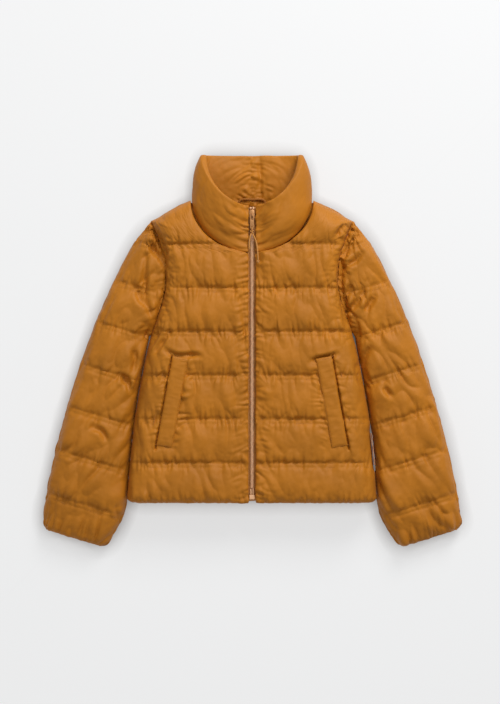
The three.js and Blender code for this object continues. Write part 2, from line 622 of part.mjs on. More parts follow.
// A flat tab that lies down the zip. Its eye goes round the bridge, and its hole takes the cord.
function pullTab() {
  const [half, inner, bar] = [PULL_HALF, BRIDGE_HALF + PULL_PLAY, PULL_BAR_HALF];
  const outline = new THREE.Shape(vectors([[half, bar], [-half, bar], [-half, pullHoleY]]));
  outline.absarc(0, pullHoleY, half, Math.PI, 2 * Math.PI, false);
  const eye = vectors([[-inner, -bar], [-inner, -PULL_EYE], [inner, -PULL_EYE], [inner, -bar]]);
  const hole = new THREE.Path().absarc(0, pullHoleY, PULL_HOLE_RADIUS, 0, 2 * Math.PI, true);
  outline.holes.push(new THREE.Path(eye), hole);
  const depth = PULL_THICK;
  const tab = new THREE.ExtrudeGeometry(outline, { depth, bevelEnabled: false, curveSegments: 6 });
  return tab.translate(0, 0, -depth / 2);
}

// ---------------------------------------------------------------- cord on the pull

// Points along each end of the cord, from the knot, in the frame of the pull's pivot.
const LONG_END = [[1.8, -34.8, 1.3], [4, -41, 3.4], [7.6, -49, 3.6], [9.8, -59, 3.6], [11, -69, 3.6],
  [11.6, -79, 3.6], [12.2, -88, 3.6]];
const TIP_KNOT = [12.4, -90.7, 3.6];
const SHORT_END = [[-1.8, -34.8, 1.3], [-3.6, -41, 3.3], [-5, -48, 3.6], [-5.4, -57, 3.6], [-4.6, -66, 3.6]];
const cordSpline = (points) =>
  new THREE.CatmullRomCurve3(points.map((point) => new THREE.Vector3(...point)));

function cordEnd(points) {
  const path = cordSpline(points);
  const section = new THREE.Shape().absarc(0, 0, CORD_RADIUS, 0, 2 * Math.PI, false);
  const steps = Math.ceil(path.getLength() / (5 * CORD_RADIUS)) + 2;
  return new THREE.ExtrudeGeometry(section, { steps, extrudePath: path, curveSegments: 4 });
}

const knot = (x, y, z, radius) =>
  new THREE.SphereGeometry(radius, 8, 6).scale(1, 0.9, 0.7).translate(x, y, z);

// The cord goes round through the pull's hole and is knotted beyond the pull's end.
function loopedKnot() {
  const reach = PULL_HALF + 0.9;
  const bend = new THREE.TorusGeometry(reach, CORD_RADIUS * 0.75, 6, 12).rotateY(Math.PI / 2);
  const round = bend.scale(1, 1, 0.56).translate(0, pullHoleY - reach, 0);
  return joined(round, knot(0, pullHoleY - 2 * reach + 0.6, 0, KNOT_RADIUS));
}

// ---------------------------------------------------------------- hanger loop and side label

// In the loop's own frame: its ends are sewn at y = 0, and it lies towards the collar's top.
function hangerLoop() {
  const top = LOOP_HALF - LOOP_SLANT;
  const outline = [[LOOP_HALF, 0], [top, LOOP_TALL], [-top, LOOP_TALL], [-LOOP_HALF, 0]];
  const outer = new THREE.Shape(vectors(outline));
  const [half, tall] = [LOOP_HALF - LOOP_BAND, LOOP_TALL - LOOP_BAND];
  outer.holes.push(new THREE.Path(vectors([[half, 2], [half - 6, tall], [6 - half, tall], [-half, 2]])));
  return new THREE.ExtrudeGeometry(outer, { depth: LOOP_THICK, bevelEnabled: false });
}

// A folded strip, open below, that stands in the side seam.
function sideLabel() {
  const [w, leaf] = [LABEL_FOLD, LABEL_LEAF];
  const inside = [[leaf, 0], [leaf, LABEL_HIGH - leaf], [w - leaf, LABEL_HIGH - leaf], [w - leaf, 0]];
  const fold = new THREE.Shape(vectors([[0, 0], ...inside, [w, 0], [w, LABEL_HIGH], [0, LABEL_HIGH]]));
  const strip = new THREE.ExtrudeGeometry(fold, { depth: LABEL_LONG, bevelEnabled: false });
  return strip.rotateX(Math.PI / 2);
}

// ---------------------------------------------------------------- assembly

const jacket = new THREE.Group();

function piece(name, geometry, material, parent = jacket) {
  const mesh = new THREE.Mesh(geometry, material);
  mesh.name = name;
  parent.add(mesh);
  return mesh;
}

function sandwich(name, panel, parent) {
  piece(`${name}_shell`, panel.shell, SHELL_CLOTH, parent);
  piece(`${name}_fill`, panel.fill, FILL_WADDING, parent);
  piece(`${name}_lining`, panel.lining, LINING_CLOTH, parent);
}

// What the left and right sides both have. The right one is the left one mirrored.
const sideShapes = {
  front: frontPanel(),
  sleeveUpper: sleevePanel(true),
  sleeveUnder: sleevePanel(false),
  binding: cuffBinding(),
  elastic: cuffElastic(),
  hem: hemBand(FRONT_COLUMNS, frontSurface, sideX(0)),
  welt: pocketWelt(),
  bag: pocketBag(),
};

function jacketSide(name) {
  const side = new THREE.Group();
  sandwich(`${name}_front`, sideShapes.front, side);
  piece(`${name}_front_hem_band`, sideShapes.hem, SHELL_CLOTH, side);
  piece(`${name}_pocket_welt`, sideShapes.welt, SHELL_CLOTH, side);
  piece(`${name}_pocket_bag`, sideShapes.bag, LINING_CLOTH, side);
  piece(`${name}_zip_tape`, zipTape(), TAPE_CLOTH, side);
  piece(`${name}_zip_teeth`, zipTeeth(), TEETH_PLASTIC, side);
  piece(`${name}_zip_top_stop`, zipStop(), TEETH_PLASTIC, side);
  const sleeve = new THREE.Group();
  sleeve.position.set(SHOULDER_HALF, shoulderY, 0);
  sleeve.rotation.z = SLEEVE_ANGLE;
  sandwich(`${name}_sleeve_upper`, sideShapes.sleeveUpper, sleeve);
  sandwich(`${name}_sleeve_under`, sideShapes.sleeveUnder, sleeve);
  piece(`${name}_cuff_binding`, sideShapes.binding, RIB_CLOTH, sleeve);
  piece(`${name}_cuff_elastic`, sideShapes.elastic, FILL_WADDING, sleeve);
  side.add(sleeve);
  return side;
}

const leftSide = jacketSide("left");
const rightSide = jacketSide("right");
rightSide.scale.x = -1;
jacket.add(leftSide, rightSide);

sandwich("back", backPanel(), jacket);
piece("back_hem_band", hemBand(BACK_COLUMNS, backSurface, sideX(0)), SHELL_CLOTH);
sandwich("collar", {
  shell: collarLayer(LAYER_FACES.shell),
  fill: collarLayer(LAYER_FACES.fill),
  lining: collarLayer(LAYER_FACES.lining),
}, jacket);

piece("zip_insertion_pin", zipPin(), TEETH_PLASTIC);
piece("zip_box_pin", zipPin().rotateY(Math.PI).translate(0, 0, teethUnderZ + teethTopZ), TEETH_PLASTIC);
piece("zip_retainer_box", zipBox(), TEETH_PLASTIC);
piece("zip_slider", sliderBody(), PAINTED_METAL);

const pull = new THREE.Group();
pull.position.set(0, pullPivotY, pullPivotZ);
piece("zip_pull", pullTab(), PAINTED_METAL, pull);
piece("pull_knot", loopedKnot(), CORD_CLOTH, pull);
piece("pull_cord_long", cordEnd(LONG_END), CORD_CLOTH, pull);
piece("pull_cord_short", cordEnd(SHORT_END), CORD_CLOTH, pull);
piece("pull_cord_tip", knot(...TIP_KNOT, TIP_KNOT_RADIUS), CORD_CLOTH, pull);
jacket.add(pull);

// The loop lies along the collar's lining, which rises from the seam and towards the loop's ends.
const loop = piece("hanger_loop", hangerLoop(), RIB_CLOTH);
const loopFoot = BODY_LENGTH - NECK_DROP_BACK + LOOP_START;
const liningRun = COLLAR_ROWS[1] * (collarTopY - BODY_LENGTH + NECK_DROP_BACK);
const liningRise = (collarLoft(COLLAR_ROWS[1]) - collarLoft(0)) / 2;
const endLift = collarLine(Math.PI - Math.asin(LOOP_HALF / collarHalf(0)), 0).z - collarBackZ;
loop.position.set(0, loopFoot,
  collarBackZ + collarLoft(0) / 2 + (liningRise * LOOP_START) / liningRun + endLift + LOOP_CLEARANCE);
loop.rotation.x = Math.atan2(liningRise, liningRun);

const label = piece("side_label", sideLabel(), LABEL_SATIN);
const labelTop = LABEL_LOW + LABEL_LONG;
label.position.set(sideX(labelTop) + LABEL_CLEARANCE, labelTop, bodySeamZ + LABEL_RISE);
label.rotation.z = Math.atan2(sideX(LABEL_LOW) - sideX(labelTop), LABEL_LONG);

// The origin is the middle of the footprint, on the surface that the jacket lies on.
const extent = new THREE.Box3().setFromObject(jacket, true);
const middle = extent.getCenter(new THREE.Vector3());
jacket.position.set(-middle.x, -middle.y, -extent.min.z);

export default jacket;
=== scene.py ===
"""A short quilted jacket, laid flat on its back: the padded panels, zip, pockets, collar and cuffs as cloth.

Lengths are in metres. The jacket's own measures start at the hem, the zip and the floor, and place() moves
them into the frame. Each quilted panel is a closed pad: its outside is a sheet that is blown up between the
rows where it is sewn down, and its inside is the lining.
"""

import json
import math

import bmesh
import bpy
import numpy as np
from bpy.props import FloatProperty, FloatVectorProperty, IntProperty, PointerProperty
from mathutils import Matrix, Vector, noise

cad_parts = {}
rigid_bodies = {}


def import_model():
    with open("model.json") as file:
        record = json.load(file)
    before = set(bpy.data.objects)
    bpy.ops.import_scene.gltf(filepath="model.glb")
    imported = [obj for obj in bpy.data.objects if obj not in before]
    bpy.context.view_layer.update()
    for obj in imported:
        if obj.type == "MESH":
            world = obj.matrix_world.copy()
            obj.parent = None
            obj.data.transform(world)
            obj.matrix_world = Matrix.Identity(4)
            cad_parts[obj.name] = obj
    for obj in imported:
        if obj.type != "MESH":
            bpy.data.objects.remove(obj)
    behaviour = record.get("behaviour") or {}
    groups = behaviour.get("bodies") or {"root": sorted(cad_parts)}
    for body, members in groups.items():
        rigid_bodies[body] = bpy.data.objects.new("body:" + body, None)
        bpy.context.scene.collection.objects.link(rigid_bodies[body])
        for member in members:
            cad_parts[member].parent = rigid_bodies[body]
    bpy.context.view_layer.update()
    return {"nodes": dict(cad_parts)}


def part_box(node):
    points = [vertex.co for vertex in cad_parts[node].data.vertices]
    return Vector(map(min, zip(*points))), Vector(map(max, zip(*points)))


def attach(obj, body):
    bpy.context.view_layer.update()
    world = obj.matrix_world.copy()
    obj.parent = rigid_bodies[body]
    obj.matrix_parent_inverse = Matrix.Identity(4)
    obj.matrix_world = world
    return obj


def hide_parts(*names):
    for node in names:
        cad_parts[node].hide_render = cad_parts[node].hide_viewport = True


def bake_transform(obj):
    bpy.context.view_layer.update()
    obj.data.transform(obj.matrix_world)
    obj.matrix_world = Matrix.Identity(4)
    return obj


bl_info = {
    "name": "Quilted Jacket",
    "version": (1, 0, 0),
    "blender": (4, 5, 0),
    "location": "View3D > Sidebar > Jacket",
    "description": "Builds a quilted jacket laid flat, with its padding, zip, pockets and cuffs",
    "category": "Add Mesh",
}

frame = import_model()

# ---------------------------------------------------------------- measures from the frame

HEM_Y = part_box("back_hem_band")[0].y
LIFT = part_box("back_shell")[0].z
SLIDER_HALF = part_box("zip_slider")[1].x
FRONT_EDGE = SLIDER_HALF + 0.0016
HEM_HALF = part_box("back_hem_band")[1].x
WELT_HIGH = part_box("left_pocket_welt")[1]
TEETH_LOW, TEETH_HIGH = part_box("left_zip_teeth")

# ---------------------------------------------------------------- measures of the pattern

BODY_LENGTH = 0.600
CHEST_HALF = 0.200
SIDE_BOW = 0.008
SHOULDER_HALF = 0.207
SHOULDER_Y = 0.566
ARMHOLE_DEPTH = 0.228
UNDERARM_Y = SHOULDER_Y - ARMHOLE_DEPTH
ARMHOLE_SCOOP = 0.032
NECK_HALF = 0.1226
NECK_DROP_FRONT = 0.1046
NECK_DROP_BACK = 0.0166
QUILT_LINES = [0.076 + 0.087 * k for k in range(6)]

BACK_Z = 0.014
GROUND_GAP = 0.0003
FRONT_Z = 0.074
SEAM_Z = (BACK_Z + FRONT_Z) / 2
SLEEVE_UNDER_Z = 0.012
SLEEVE_UPPER_Z = 0.052
SLEEVE_SEAM_Z = (SLEEVE_UNDER_Z + SLEEVE_UPPER_Z) / 2 - 0.002
ARMHOLE_END_Z = SLEEVE_SEAM_Z + 0.004
BODY_EDGE = 0.050
SLEEVE_EDGE = 0.042
LOFT_EDGE = 0.030
SEWN_HALF = 0.004
BODY_PUFF = 0.008
SLEEVE_PUFF = 0.006

SLEEVE_END = 0.660
SLEEVE_ANGLE = math.radians(17)
SLEEVE_LINES = [0.052 + 0.0892 * k for k in range(7)]
CUFF_START = 0.642
CUFF_END = 0.654
CUFF_Z = 0.022
CUFF_TALL = 0.032
CUFF_TAPER = 0.110
CUFF_ROLL = 0.010

COLLAR_BASE = 0.118
COLLAR_TOP = 0.097
COLLAR_RISE = 0.092
COLLAR_DIP = 1.2
COLLAR_SQUARENESS = 0.5
COLLAR_MID_Z = 0.043
COLLAR_REACH_Z = 0.031
COLLAR_LEAN = 0.022

HEM_START = -0.0045
HEM_ROLL = 0.012
HEM_ROUNDING = 0.016

WELT_LONG = 0.180
WELT_WIDE = 0.032
WELT_X = 0.158
WELT_Y = 0.197
WELT_ANGLE = math.radians(10.2)


def lerp(a, b, t):
    return a + (b - a) * t


def smooth(t, low=0.0, high=1.0):
    t = np.clip((t - low) / (high - low), 0, 1)
    return t * t * (3 - 2 * t)


def place(points):
    """Moves points from the jacket's own measures into the frame, and rounds off the shoulders' tops."""
    points = np.asarray(points, float)
    side = np.sign(points[..., 0])
    from_top = np.hypot(np.abs(points[..., 0]) - SHOULDER_HALF, points[..., 1] - SHOULDER_Y)
    pull = 0.0085 * np.exp(-((from_top / 0.040) ** 2))
    rounding = np.stack([-0.55 * side * pull, -0.83 * pull, 0 * pull], -1)
    return points + rounding + np.array([0, HEM_Y, LIFT])


# ---------------------------------------------------------------- outlines


def armhole(share):
    """The armhole from the top of the sleeve, at 0, to the underarm, at 1."""
    x = lerp(SHOULDER_HALF, CHEST_HALF, share) - ARMHOLE_SCOOP * np.sin(np.pi * share)
    return x, lerp(SHOULDER_Y, UNDERARM_Y, share)


def side_x(y):
    """Distance from the zip to the side seam, and above it to the armhole."""
    y = np.asarray(y, float)
    down = np.clip(1 - y / UNDERARM_Y, 0, 1)
    seam = lerp(CHEST_HALF, HEM_HALF, down) + SIDE_BOW * np.sin(np.pi * down)
    seam = seam - 0.009 * turn_down(y - HEM_START, HEM_ROUNDING)
    share = np.clip((SHOULDER_Y - y) / ARMHOLE_DEPTH, 0, 1)
    return np.where(y < UNDERARM_Y, seam, armhole(share)[0])


def beside_room(y, side):
    """How far the body and the sleeve may each bulge into the gap that the label keeps open."""
    label = smooth(y, 0.052, 0.066) * (1 - smooth(y, 0.138, 0.152)) * (np.asarray(side) > 0)
    return 0.0021 * (1 - label) * (1 - smooth(y, UNDERARM_Y - 0.03, UNDERARM_Y - 0.005))


def neck_x(y, drop):
    """Distance from the zip to the neckline at a height."""
    reach = np.clip((BODY_LENGTH - np.asarray(y, float)) / drop, 0, 1)
    return NECK_HALF * np.sqrt(1 - reach**2)


def shoulder_y(x):
    return lerp(BODY_LENGTH, SHOULDER_Y, np.clip((x - NECK_HALF) / (SHOULDER_HALF - NECK_HALF), 0, 1))


def through(points, count):
    """Points along a smooth curve through the given ones."""
    points = np.asarray(points, float)
    last = len(points) - 1
    at = np.linspace(0, last, count)
    k = np.minimum(at.astype(int), last - 1)
    t = (at - k)[:, None]
    a, b = points[np.maximum(k - 1, 0)], points[k]
    c, d = points[k + 1], points[np.minimum(k + 2, last)]
    a = np.where((k == 0)[:, None], b, a)
    d = np.where((k == last - 1)[:, None], c, d)
    v0, v1 = (c - a) / 2, (d - b) / 2
    return (2 * b - 2 * c + v0 + v1) * t**3 + (-3 * b + 3 * c - 2 * v0 - v1) * t**2 + v0 * t + b


OUTER_EDGE = through(np.array([[0, 0], [22, 92], [40, 224], [46, 351], [44, 476], [34, 597],
                               [22, 661]]) / 1000, 200)
INNER_EDGE = through(np.array([[-60, 0], [-112, 120], [-98, 224], [-88, 300], [-98, 400], [-113, 491],
                               [-126, 570],
                               [-122, 613], [-108, 661]]) / 1000, 200)


def to_body(across, length, side):
    """From the sleeve's own frame, across it and down its length, to the body's."""
    c, s = math.cos(SLEEVE_ANGLE), math.sin(SLEEVE_ANGLE)
    x = SHOULDER_HALF + across * c + length * s
    return side * x, SHOULDER_Y + across * s - length * c


def sleeve_sides(length, side=1):
    """The inner and outer limit of the sleeve at a length, in its own frame."""
    outer = np.interp(length, OUTER_EDGE[:, 1], OUTER_EDGE[:, 0])
    inner = np.interp(length, INNER_EDGE[:, 1], INNER_EDGE[:, 0])
    y = np.concatenate([np.linspace(SHOULDER_Y, UNDERARM_Y, 60), np.linspace(UNDERARM_Y - 0.012, -0.06, 40)])
    x = side_x(y) + np.where(y > UNDERARM_Y - 0.001, 0.0003, 0.005 - beside_room(y, side))
    c, s = math.cos(SLEEVE_ANGLE), math.sin(SLEEVE_ANGLE)
    dx, dy = x - SHOULDER_HALF, y - SHOULDER_Y
    body_across, body_length = dx * c + dy * s, dx * s - dy * c
    order = np.argsort(body_length)
    beside = np.interp(length, body_length[order], body_across[order])
    return np.minimum(np.maximum(inner, beside), outer - 0.004), outer


def armhole_gap(x, y):
    """Distance from points to the armhole curve."""
    ax, ay = armhole(np.linspace(0, 1, 80))
    return np.sqrt(((x[..., None] - ax) ** 2 + (y[..., None] - ay) ** 2).min(-1))


# ---------------------------------------------------------------- heights


def turn_down(from_edge, width):
    return 1 - np.sqrt(1 - (1 - np.clip(from_edge / width, 0, 1)) ** 2)


def full_loft(from_edge, width=LOFT_EDGE):
    return np.sqrt(np.clip(from_edge / width, 0, 1))


def seam_height(x, y, layer):
    """Where a body panel is sewn to its neighbour: layer is 1 for the fronts and -1 for the back."""
    shoulder = np.clip((x - NECK_HALF) / (SHOULDER_HALF - NECK_HALF), 0, 1)
    side = np.clip(y / UNDERARM_Y, 0, 1)
    closed = lerp(SEAM_Z, ARMHOLE_END_Z, np.where(y > SHOULDER_Y, shoulder, side)) + layer * 0.0005
    opened = np.sin(np.pi * np.clip((SHOULDER_Y - y) / ARMHOLE_DEPTH, 0, 1)) ** 0.6
    return lerp(closed, SLEEVE_UPPER_Z + 0.002 if layer > 0 else SLEEVE_UNDER_Z - 0.002, opened)


def quilt_rows(start, lines, end, step, band):
    """Rows along a panel: where they lie, how far they swell, and which are sewn.

    A channel is sewn down twice, on its line and a little below it. band is how many rows that is, and its sign
    says which way down is. The wadding has sunk, so a channel is fullest below its middle.
    """
    sag = 0.78
    at, swell, sewn = [], [], []
    edges = [start, *lines, end]
    for low, high in zip(edges, edges[1:]):
        count = max(3, round((high - low) / step))
        t = np.arange(count) / count
        at += list(low + (high - low) * t)
        sunk = t**sag if band < 0 else 1 - (1 - t) ** sag
        swell += list((1 - (2 * sunk - 1) ** 2) ** 0.45)
        sewn += [True] + [False] * (count - 1)
    at.append(end)
    swell.append(0.0)
    sewn.append(True)
    tack = [i + band for i, is_sewn in enumerate(sewn)
            if is_sewn and 0 < i + band < len(sewn) - 1 and at[i] in lines]
    return np.array(at), np.array(swell), np.array(sewn), tack


# ---------------------------------------------------------------- sheets and pads


class Sheet:
    """A grid of points that is sewn down at some of them and blown up between."""

    def __init__(self, name, start, sewn, inside, lift, seed):
        self.name = name
        self.start = start  # rows by columns by 3
        self.sewn = sewn
        self.inside = inside
        self.lift = lift  # the most that a point may move
        self.seed = seed
        self.cut = None  # how much larger it is cut than its seams, along x, y and z
        self.end = start


def grid_faces(rows, columns):
    index = np.arange(rows * columns).reshape(rows, columns)
    return np.stack([index[:-1, :-1], index[:-1, 1:], index[1:, 1:], index[1:, :-1]], -1).reshape(-1, 4)


def outward(faces, sheet):
    """The faces turned so that they look away from the lining, which is the way that the padding pushes."""
    points = sheet.start.reshape(-1, 3)
    across = points[faces[:, 1]] - points[faces[:, 0]]
    along = points[faces[:, 3]] - points[faces[:, 0]]
    away = (sheet.start - sheet.inside).reshape(-1, 3)[faces[:, 0]]
    turned = (np.cross(across, along) * away).sum() < 0
    return faces[:, ::-1] if turned else faces


def new_object(name, points, faces):
    mesh = bpy.data.meshes.new(name)
    mesh.from_pydata([tuple(p) for p in np.asarray(points, float).reshape(-1, 3)], [],
                     [list(map(int, f)) for f in faces])
    piece = bpy.data.objects.new(name, mesh)
    bpy.context.collection.objects.link(piece)
    return piece


def coordinates(mesh, normals=False):
    values = np.empty(len(mesh.vertices) * 3)
    if normals:
        mesh.vertex_normals.foreach_get("vector", values)
    else:
        mesh.vertices.foreach_get("co", values)
    return values.reshape(-1, 3)


def move_to(mesh, points):
    mesh.vertices.foreach_set("co", np.asarray(points, float).ravel())
    mesh.update()


def blow_up(sheets, look):
    """Runs one cloth simulation on all the sheets, and keeps where their points end."""
    bpy.context.scene.gravity = (0, -9.81, 0)
    cloths = []
    for sheet in sheets:
        rows, columns = sheet.sewn.shape
        jitter = np.random.default_rng(sheet.seed).normal(0, 0.0003, sheet.start.shape)
        faces = outward(grid_faces(rows, columns), sheet)
        cloth = new_object(sheet.name + "_cloth", sheet.start + jitter * ~sheet.sewn[..., None], faces)
        cloth.shape_key_add(name="sewn shape")
        cut = cloth.shape_key_add(name="cut")
        larger = sheet.start * (1 + np.array(sheet.cut or (look.fullness, look.length_fullness, 0)))
        cut.data.foreach_set("co", larger.ravel())
        group = cloth.vertex_groups.new(name="sewn")
        group.add(np.flatnonzero(sheet.sewn.ravel()).tolist(), 1, "REPLACE")
        modifier = cloth.modifiers.new("Cloth", "CLOTH")
        settings = modifier.settings
        settings.vertex_group_mass = "sewn"
        settings.effector_weights.gravity = look.sag
        settings.use_pressure = True
        settings.uniform_pressure_force = look.pressure
        settings.rest_shape_key = cut
        settings.tension_stiffness = settings.compression_stiffness = look.stiffness
        settings.shear_stiffness = look.stiffness * 0.4
        settings.bending_stiffness = look.bending
        settings.quality = 5
        settings.mass = 0.3
        modifier.collision_settings.use_collision = False
        modifier.collision_settings.use_self_collision = False
        modifier.point_cache.frame_start = 1
        modifier.point_cache.frame_end = look.steps
        cloths.append(cloth)
    for step in range(1, look.steps + 1):
        bpy.context.scene.frame_set(step)
    graph = bpy.context.evaluated_depsgraph_get()
    for sheet, cloth in zip(sheets, cloths):
        moved = coordinates(cloth.evaluated_get(graph).data).reshape(sheet.start.shape) - sheet.start
        far = np.linalg.norm(moved, axis=-1, keepdims=True)
        moved *= sheet.lift * np.tanh(far / sheet.lift) / np.maximum(far, 1e-9)
        sheet.end = sheet.start + np.where(sheet.sewn[..., None], 0, moved)
    bpy.context.scene.frame_set(1)
    for cloth in cloths:
        bpy.data.objects.remove(cloth)


def make_pad(sheet, floor=None):
    """Closes a blown-up sheet with its lining into a pad. Its outside faces take the first material slot, for
    the shell, and its lining faces the second.
    """
    rows, columns = sheet.sewn.shape
    outside = place(sheet.end)
    inside = place(sheet.inside)
    if floor is not None:
        outside[..., 2] = np.maximum(outside[..., 2], floor)
    count = rows * columns
    faces = grid_faces(rows, columns)
    index = np.arange(count).reshape(rows, columns)
    rim = np.concatenate([index[0, :-1], index[:-1, -1], index[-1, :0:-1], index[:0:-1, 0]])
    walls = np.stack([rim, rim + count, np.roll(rim, -1) + count, np.roll(rim, -1)], -1)
    piece = new_object(sheet.name, np.concatenate([outside.reshape(-1, 3), inside.reshape(-1, 3)]),
                       np.concatenate([faces, faces[:, ::-1] + count, walls]))
    for polygon in piece.data.polygons[len(faces):2 * len(faces)]:
        polygon.material_index = 1
    tidy_normals(piece)
    return piece


def tidy_normals(piece, merge=0.0):
    shape = bmesh.new()
    shape.from_mesh(piece.data)
    if merge:
        bmesh.ops.remove_doubles(shape, verts=shape.verts, dist=merge)
    bmesh.ops.recalc_face_normals(shape, faces=shape.faces)
    shape.to_mesh(piece.data)
    shape.free()


def select_only(piece):
    for other in bpy.context.view_layer.objects:
        other.select_set(False)
    piece.select_set(True)
    bpy.context.view_layer.objects.active = piece


def apply_modifier(piece, kind, **settings):
    select_only(piece)
    modifier = piece.modifiers.new(kind.title(), kind)
    for name, value in settings.items():
        setattr(modifier, name, value)
    bpy.ops.object.modifier_apply(modifier=modifier.name)


def refine(piece, levels=1):
    apply_modifier(piece, "SUBSURF", levels=levels, render_levels=levels)
    piece.data.polygons.foreach_set("use_smooth", np.ones(len(piece.data.polygons), bool))


def turned_about_z(points, angle):
    c, s = math.cos(angle), math.sin(angle)
    return np.stack([points[:, 0] * c + points[:, 1] * s, points[:, 1] * c - points[:, 0] * s, points[:, 2]],
                    -1)


def push_out(piece, points, normals, push):
    """Moves a piece's points along their normals, but never into the ground that the jacket lies on."""
    moved = points + normals * push[:, None]
    moved[:, 2] = np.maximum(moved[:, 2], GROUND_GAP)
    move_to(piece.data, moved)


def wrinkle(piece, depth, cell, seed=0, angle=0.0, weight=None, laid=None):
    """Pushes a piece out in round folds with narrow valleys between them.

    cell is the size of the folds, turned about z, or in the directions that laid gives.
    """
    points = coordinates(piece.data)
    normals = coordinates(piece.data, normals=True)
    at = (laid(points) if laid else turned_about_z(points, angle)) / np.array(cell) + seed * 7.3
    at += 0.6 * np.array([noise.noise_vector(Vector(p)) for p in at * 0.45])
    push = np.array([abs(noise.noise(Vector(p))) for p in at]) * 2.4 - 0.5
    push *= depth * lerp(0.25, 1, smooth(np.abs(normals[:, 2]), 0.2, 0.8))
    if weight is not None:
        push = push * weight(points)
    push_out(piece, points, normals, push)


def give_way_to_cord(piece):
    """Lets the cord's ends lie on a front: where the padding would rise over them, it is pressed down."""
    points = coordinates(piece.data)
    for end in (LONG_END, SHORT_END):
        path = through(np.array(end) / 1000, 40) + np.array(PIVOT)
        away = np.linalg.norm(points[:, None, :2] - path[None, :, :2], axis=-1)
        gap = away.min(1)
        ceiling = path[away.argmin(1), 2] - CORD_RADIUS - 0.0012 + 0.9 * np.clip(gap - 0.002, 0, None)
        near = gap < 0.014
        points[near, 2] = np.minimum(points[near, 2], ceiling[near])
    move_to(piece.data, points)


def press_folds(piece, paths, depth, width):
    """Presses narrow valleys into a piece's upper side along the given lines, each with a soft ridge."""
    points = coordinates(piece.data)
    normals = coordinates(piece.data, normals=True)
    push = np.zeros(len(points))
    for path in paths:
        line = through(np.array(path) / 1000 + np.array([0, HEM_Y]), 40)
        away = np.linalg.norm(points[:, None, :2] - line[None], axis=-1)
        nearest = away.argmin(1)
        gap = away[np.arange(len(points)), nearest] / width
        fade = np.sin(np.pi * (nearest + 1) / 42) ** 0.5
        push += fade * (1.1 * gap**2 - 1) * np.exp(-(gap**2))
    push *= depth * np.clip(normals[:, 2], 0, 1)
    push_out(piece, points, normals, push)


# ---------------------------------------------------------------- materials


def node(material, kind, at=(0, 0), **inputs):
    made = material.node_tree.nodes.new(kind)
    made.location = at
    for name, value in inputs.items():
        made.inputs[name.replace("_", " ")].default_value = value
    return made


def new_material(name, roughness, metallic=0.0, specular=0.5):
    material = bpy.data.materials.new(name)
    material.use_nodes = True
    shader = material.node_tree.nodes["Principled BSDF"]
    shader.inputs["Roughness"].default_value = roughness
    shader.inputs["Metallic"].default_value = metallic
    shader.inputs["Specular IOR Level"].default_value = specular
    return material, shader


def cloth_material(name, colour, roughness=0.5, weave=0.0006, weave_depth=0.00004, sheen=0.15, blotch=0.10,
                   crumple=0.0):
    """A woven cloth: two crossed threads as bump, and slow changes of colour."""
    material, shader = new_material(name, roughness, specular=0.28)
    shader.inputs["Sheen Weight"].default_value = sheen
    shader.inputs["Sheen Roughness"].default_value = 0.45
    links = material.node_tree.links
    place_on = node(material, "ShaderNodeTexCoord", (-1200, 0))
    heights = []
    for axis, y in (("X", 200), ("Y", -100)):
        thread = node(material, "ShaderNodeTexWave", (-900, y), Scale=0.05 / weave, Distortion=0.6,
                      Detail=1.0)
        thread.bands_direction = axis
        links.new(place_on.outputs["Object"], thread.inputs["Vector"])
        heights.append(thread)
    crossed = node(material, "ShaderNodeMath", (-650, 50))
    crossed.operation = "MAXIMUM"
    links.new(heights[0].outputs["Fac"], crossed.inputs[0])
    links.new(heights[1].outputs["Fac"], crossed.inputs[1])
    fine = node(material, "ShaderNodeBump", (-300, -200), Strength=0.5, Distance=weave_depth)
    links.new(crossed.outputs[0], fine.inputs["Height"])
    folds = node(material, "ShaderNodeTexNoise", (-900, -400), Scale=55.0, Detail=4.0, Roughness=0.55)
    links.new(place_on.outputs["Object"], folds.inputs["Vector"])
    soft = node(material, "ShaderNodeBump", (-500, -400), Strength=0.6, Distance=crumple)
    links.new(folds.outputs["Fac"], soft.inputs["Height"])
    links.new(soft.outputs["Normal"], fine.inputs["Normal"])
    links.new(fine.outputs["Normal"], shader.inputs["Normal"])
    slow = node(material, "ShaderNodeTexNoise", (-900, 500), Scale=14.0, Detail=3.0, Roughness=0.6)
    links.new(place_on.outputs["Object"], slow.inputs["Vector"])
    ramp = node(material, "ShaderNodeValToRGB", (-600, 500))
    for stop, factor in zip(ramp.color_ramp.elements, (1 - blotch, 1 + blotch)):
        stop.color = [min(1.0, c * factor) for c in colour] + [1]
    ramp.color_ramp.elements[0].position = 0.3
    ramp.color_ramp.elements[1].position = 0.7
    links.new(slow.outputs["Fac"], ramp.inputs["Fac"])
    links.new(ramp.outputs["Color"], shader.inputs["Base Color"])
    return material


def smooth_material(name, colour, roughness, metallic=0.0, scratch=0.08):
    """Plastic or painted metal with a fine uneven finish."""
    material, shader = new_material(name, roughness, metallic)
    links = material.node_tree.links
    place_on = node(material, "ShaderNodeTexCoord", (-1000, 0))
    grain = node(material, "ShaderNodeTexNoise", (-800, 0), Scale=900.0, Detail=3.0)
    links.new(place_on.outputs["Object"], grain.inputs["Vector"])
    bump = node(material, "ShaderNodeBump", (-300, -200), Strength=0.3, Distance=0.00003)
    links.new(grain.outputs["Fac"], bump.inputs["Height"])
    links.new(bump.outputs["Normal"], shader.inputs["Normal"])
    ramp = node(material, "ShaderNodeValToRGB", (-500, 200))
    for stop, factor in zip(ramp.color_ramp.elements, (1 - scratch, 1 + scratch)):
        stop.color = [min(1.0, c * factor) for c in colour] + [1]
    links.new(grain.outputs["Fac"], ramp.inputs["Fac"])
    links.new(ramp.outputs["Color"], shader.inputs["Base Color"])
    return material


_materials = {}


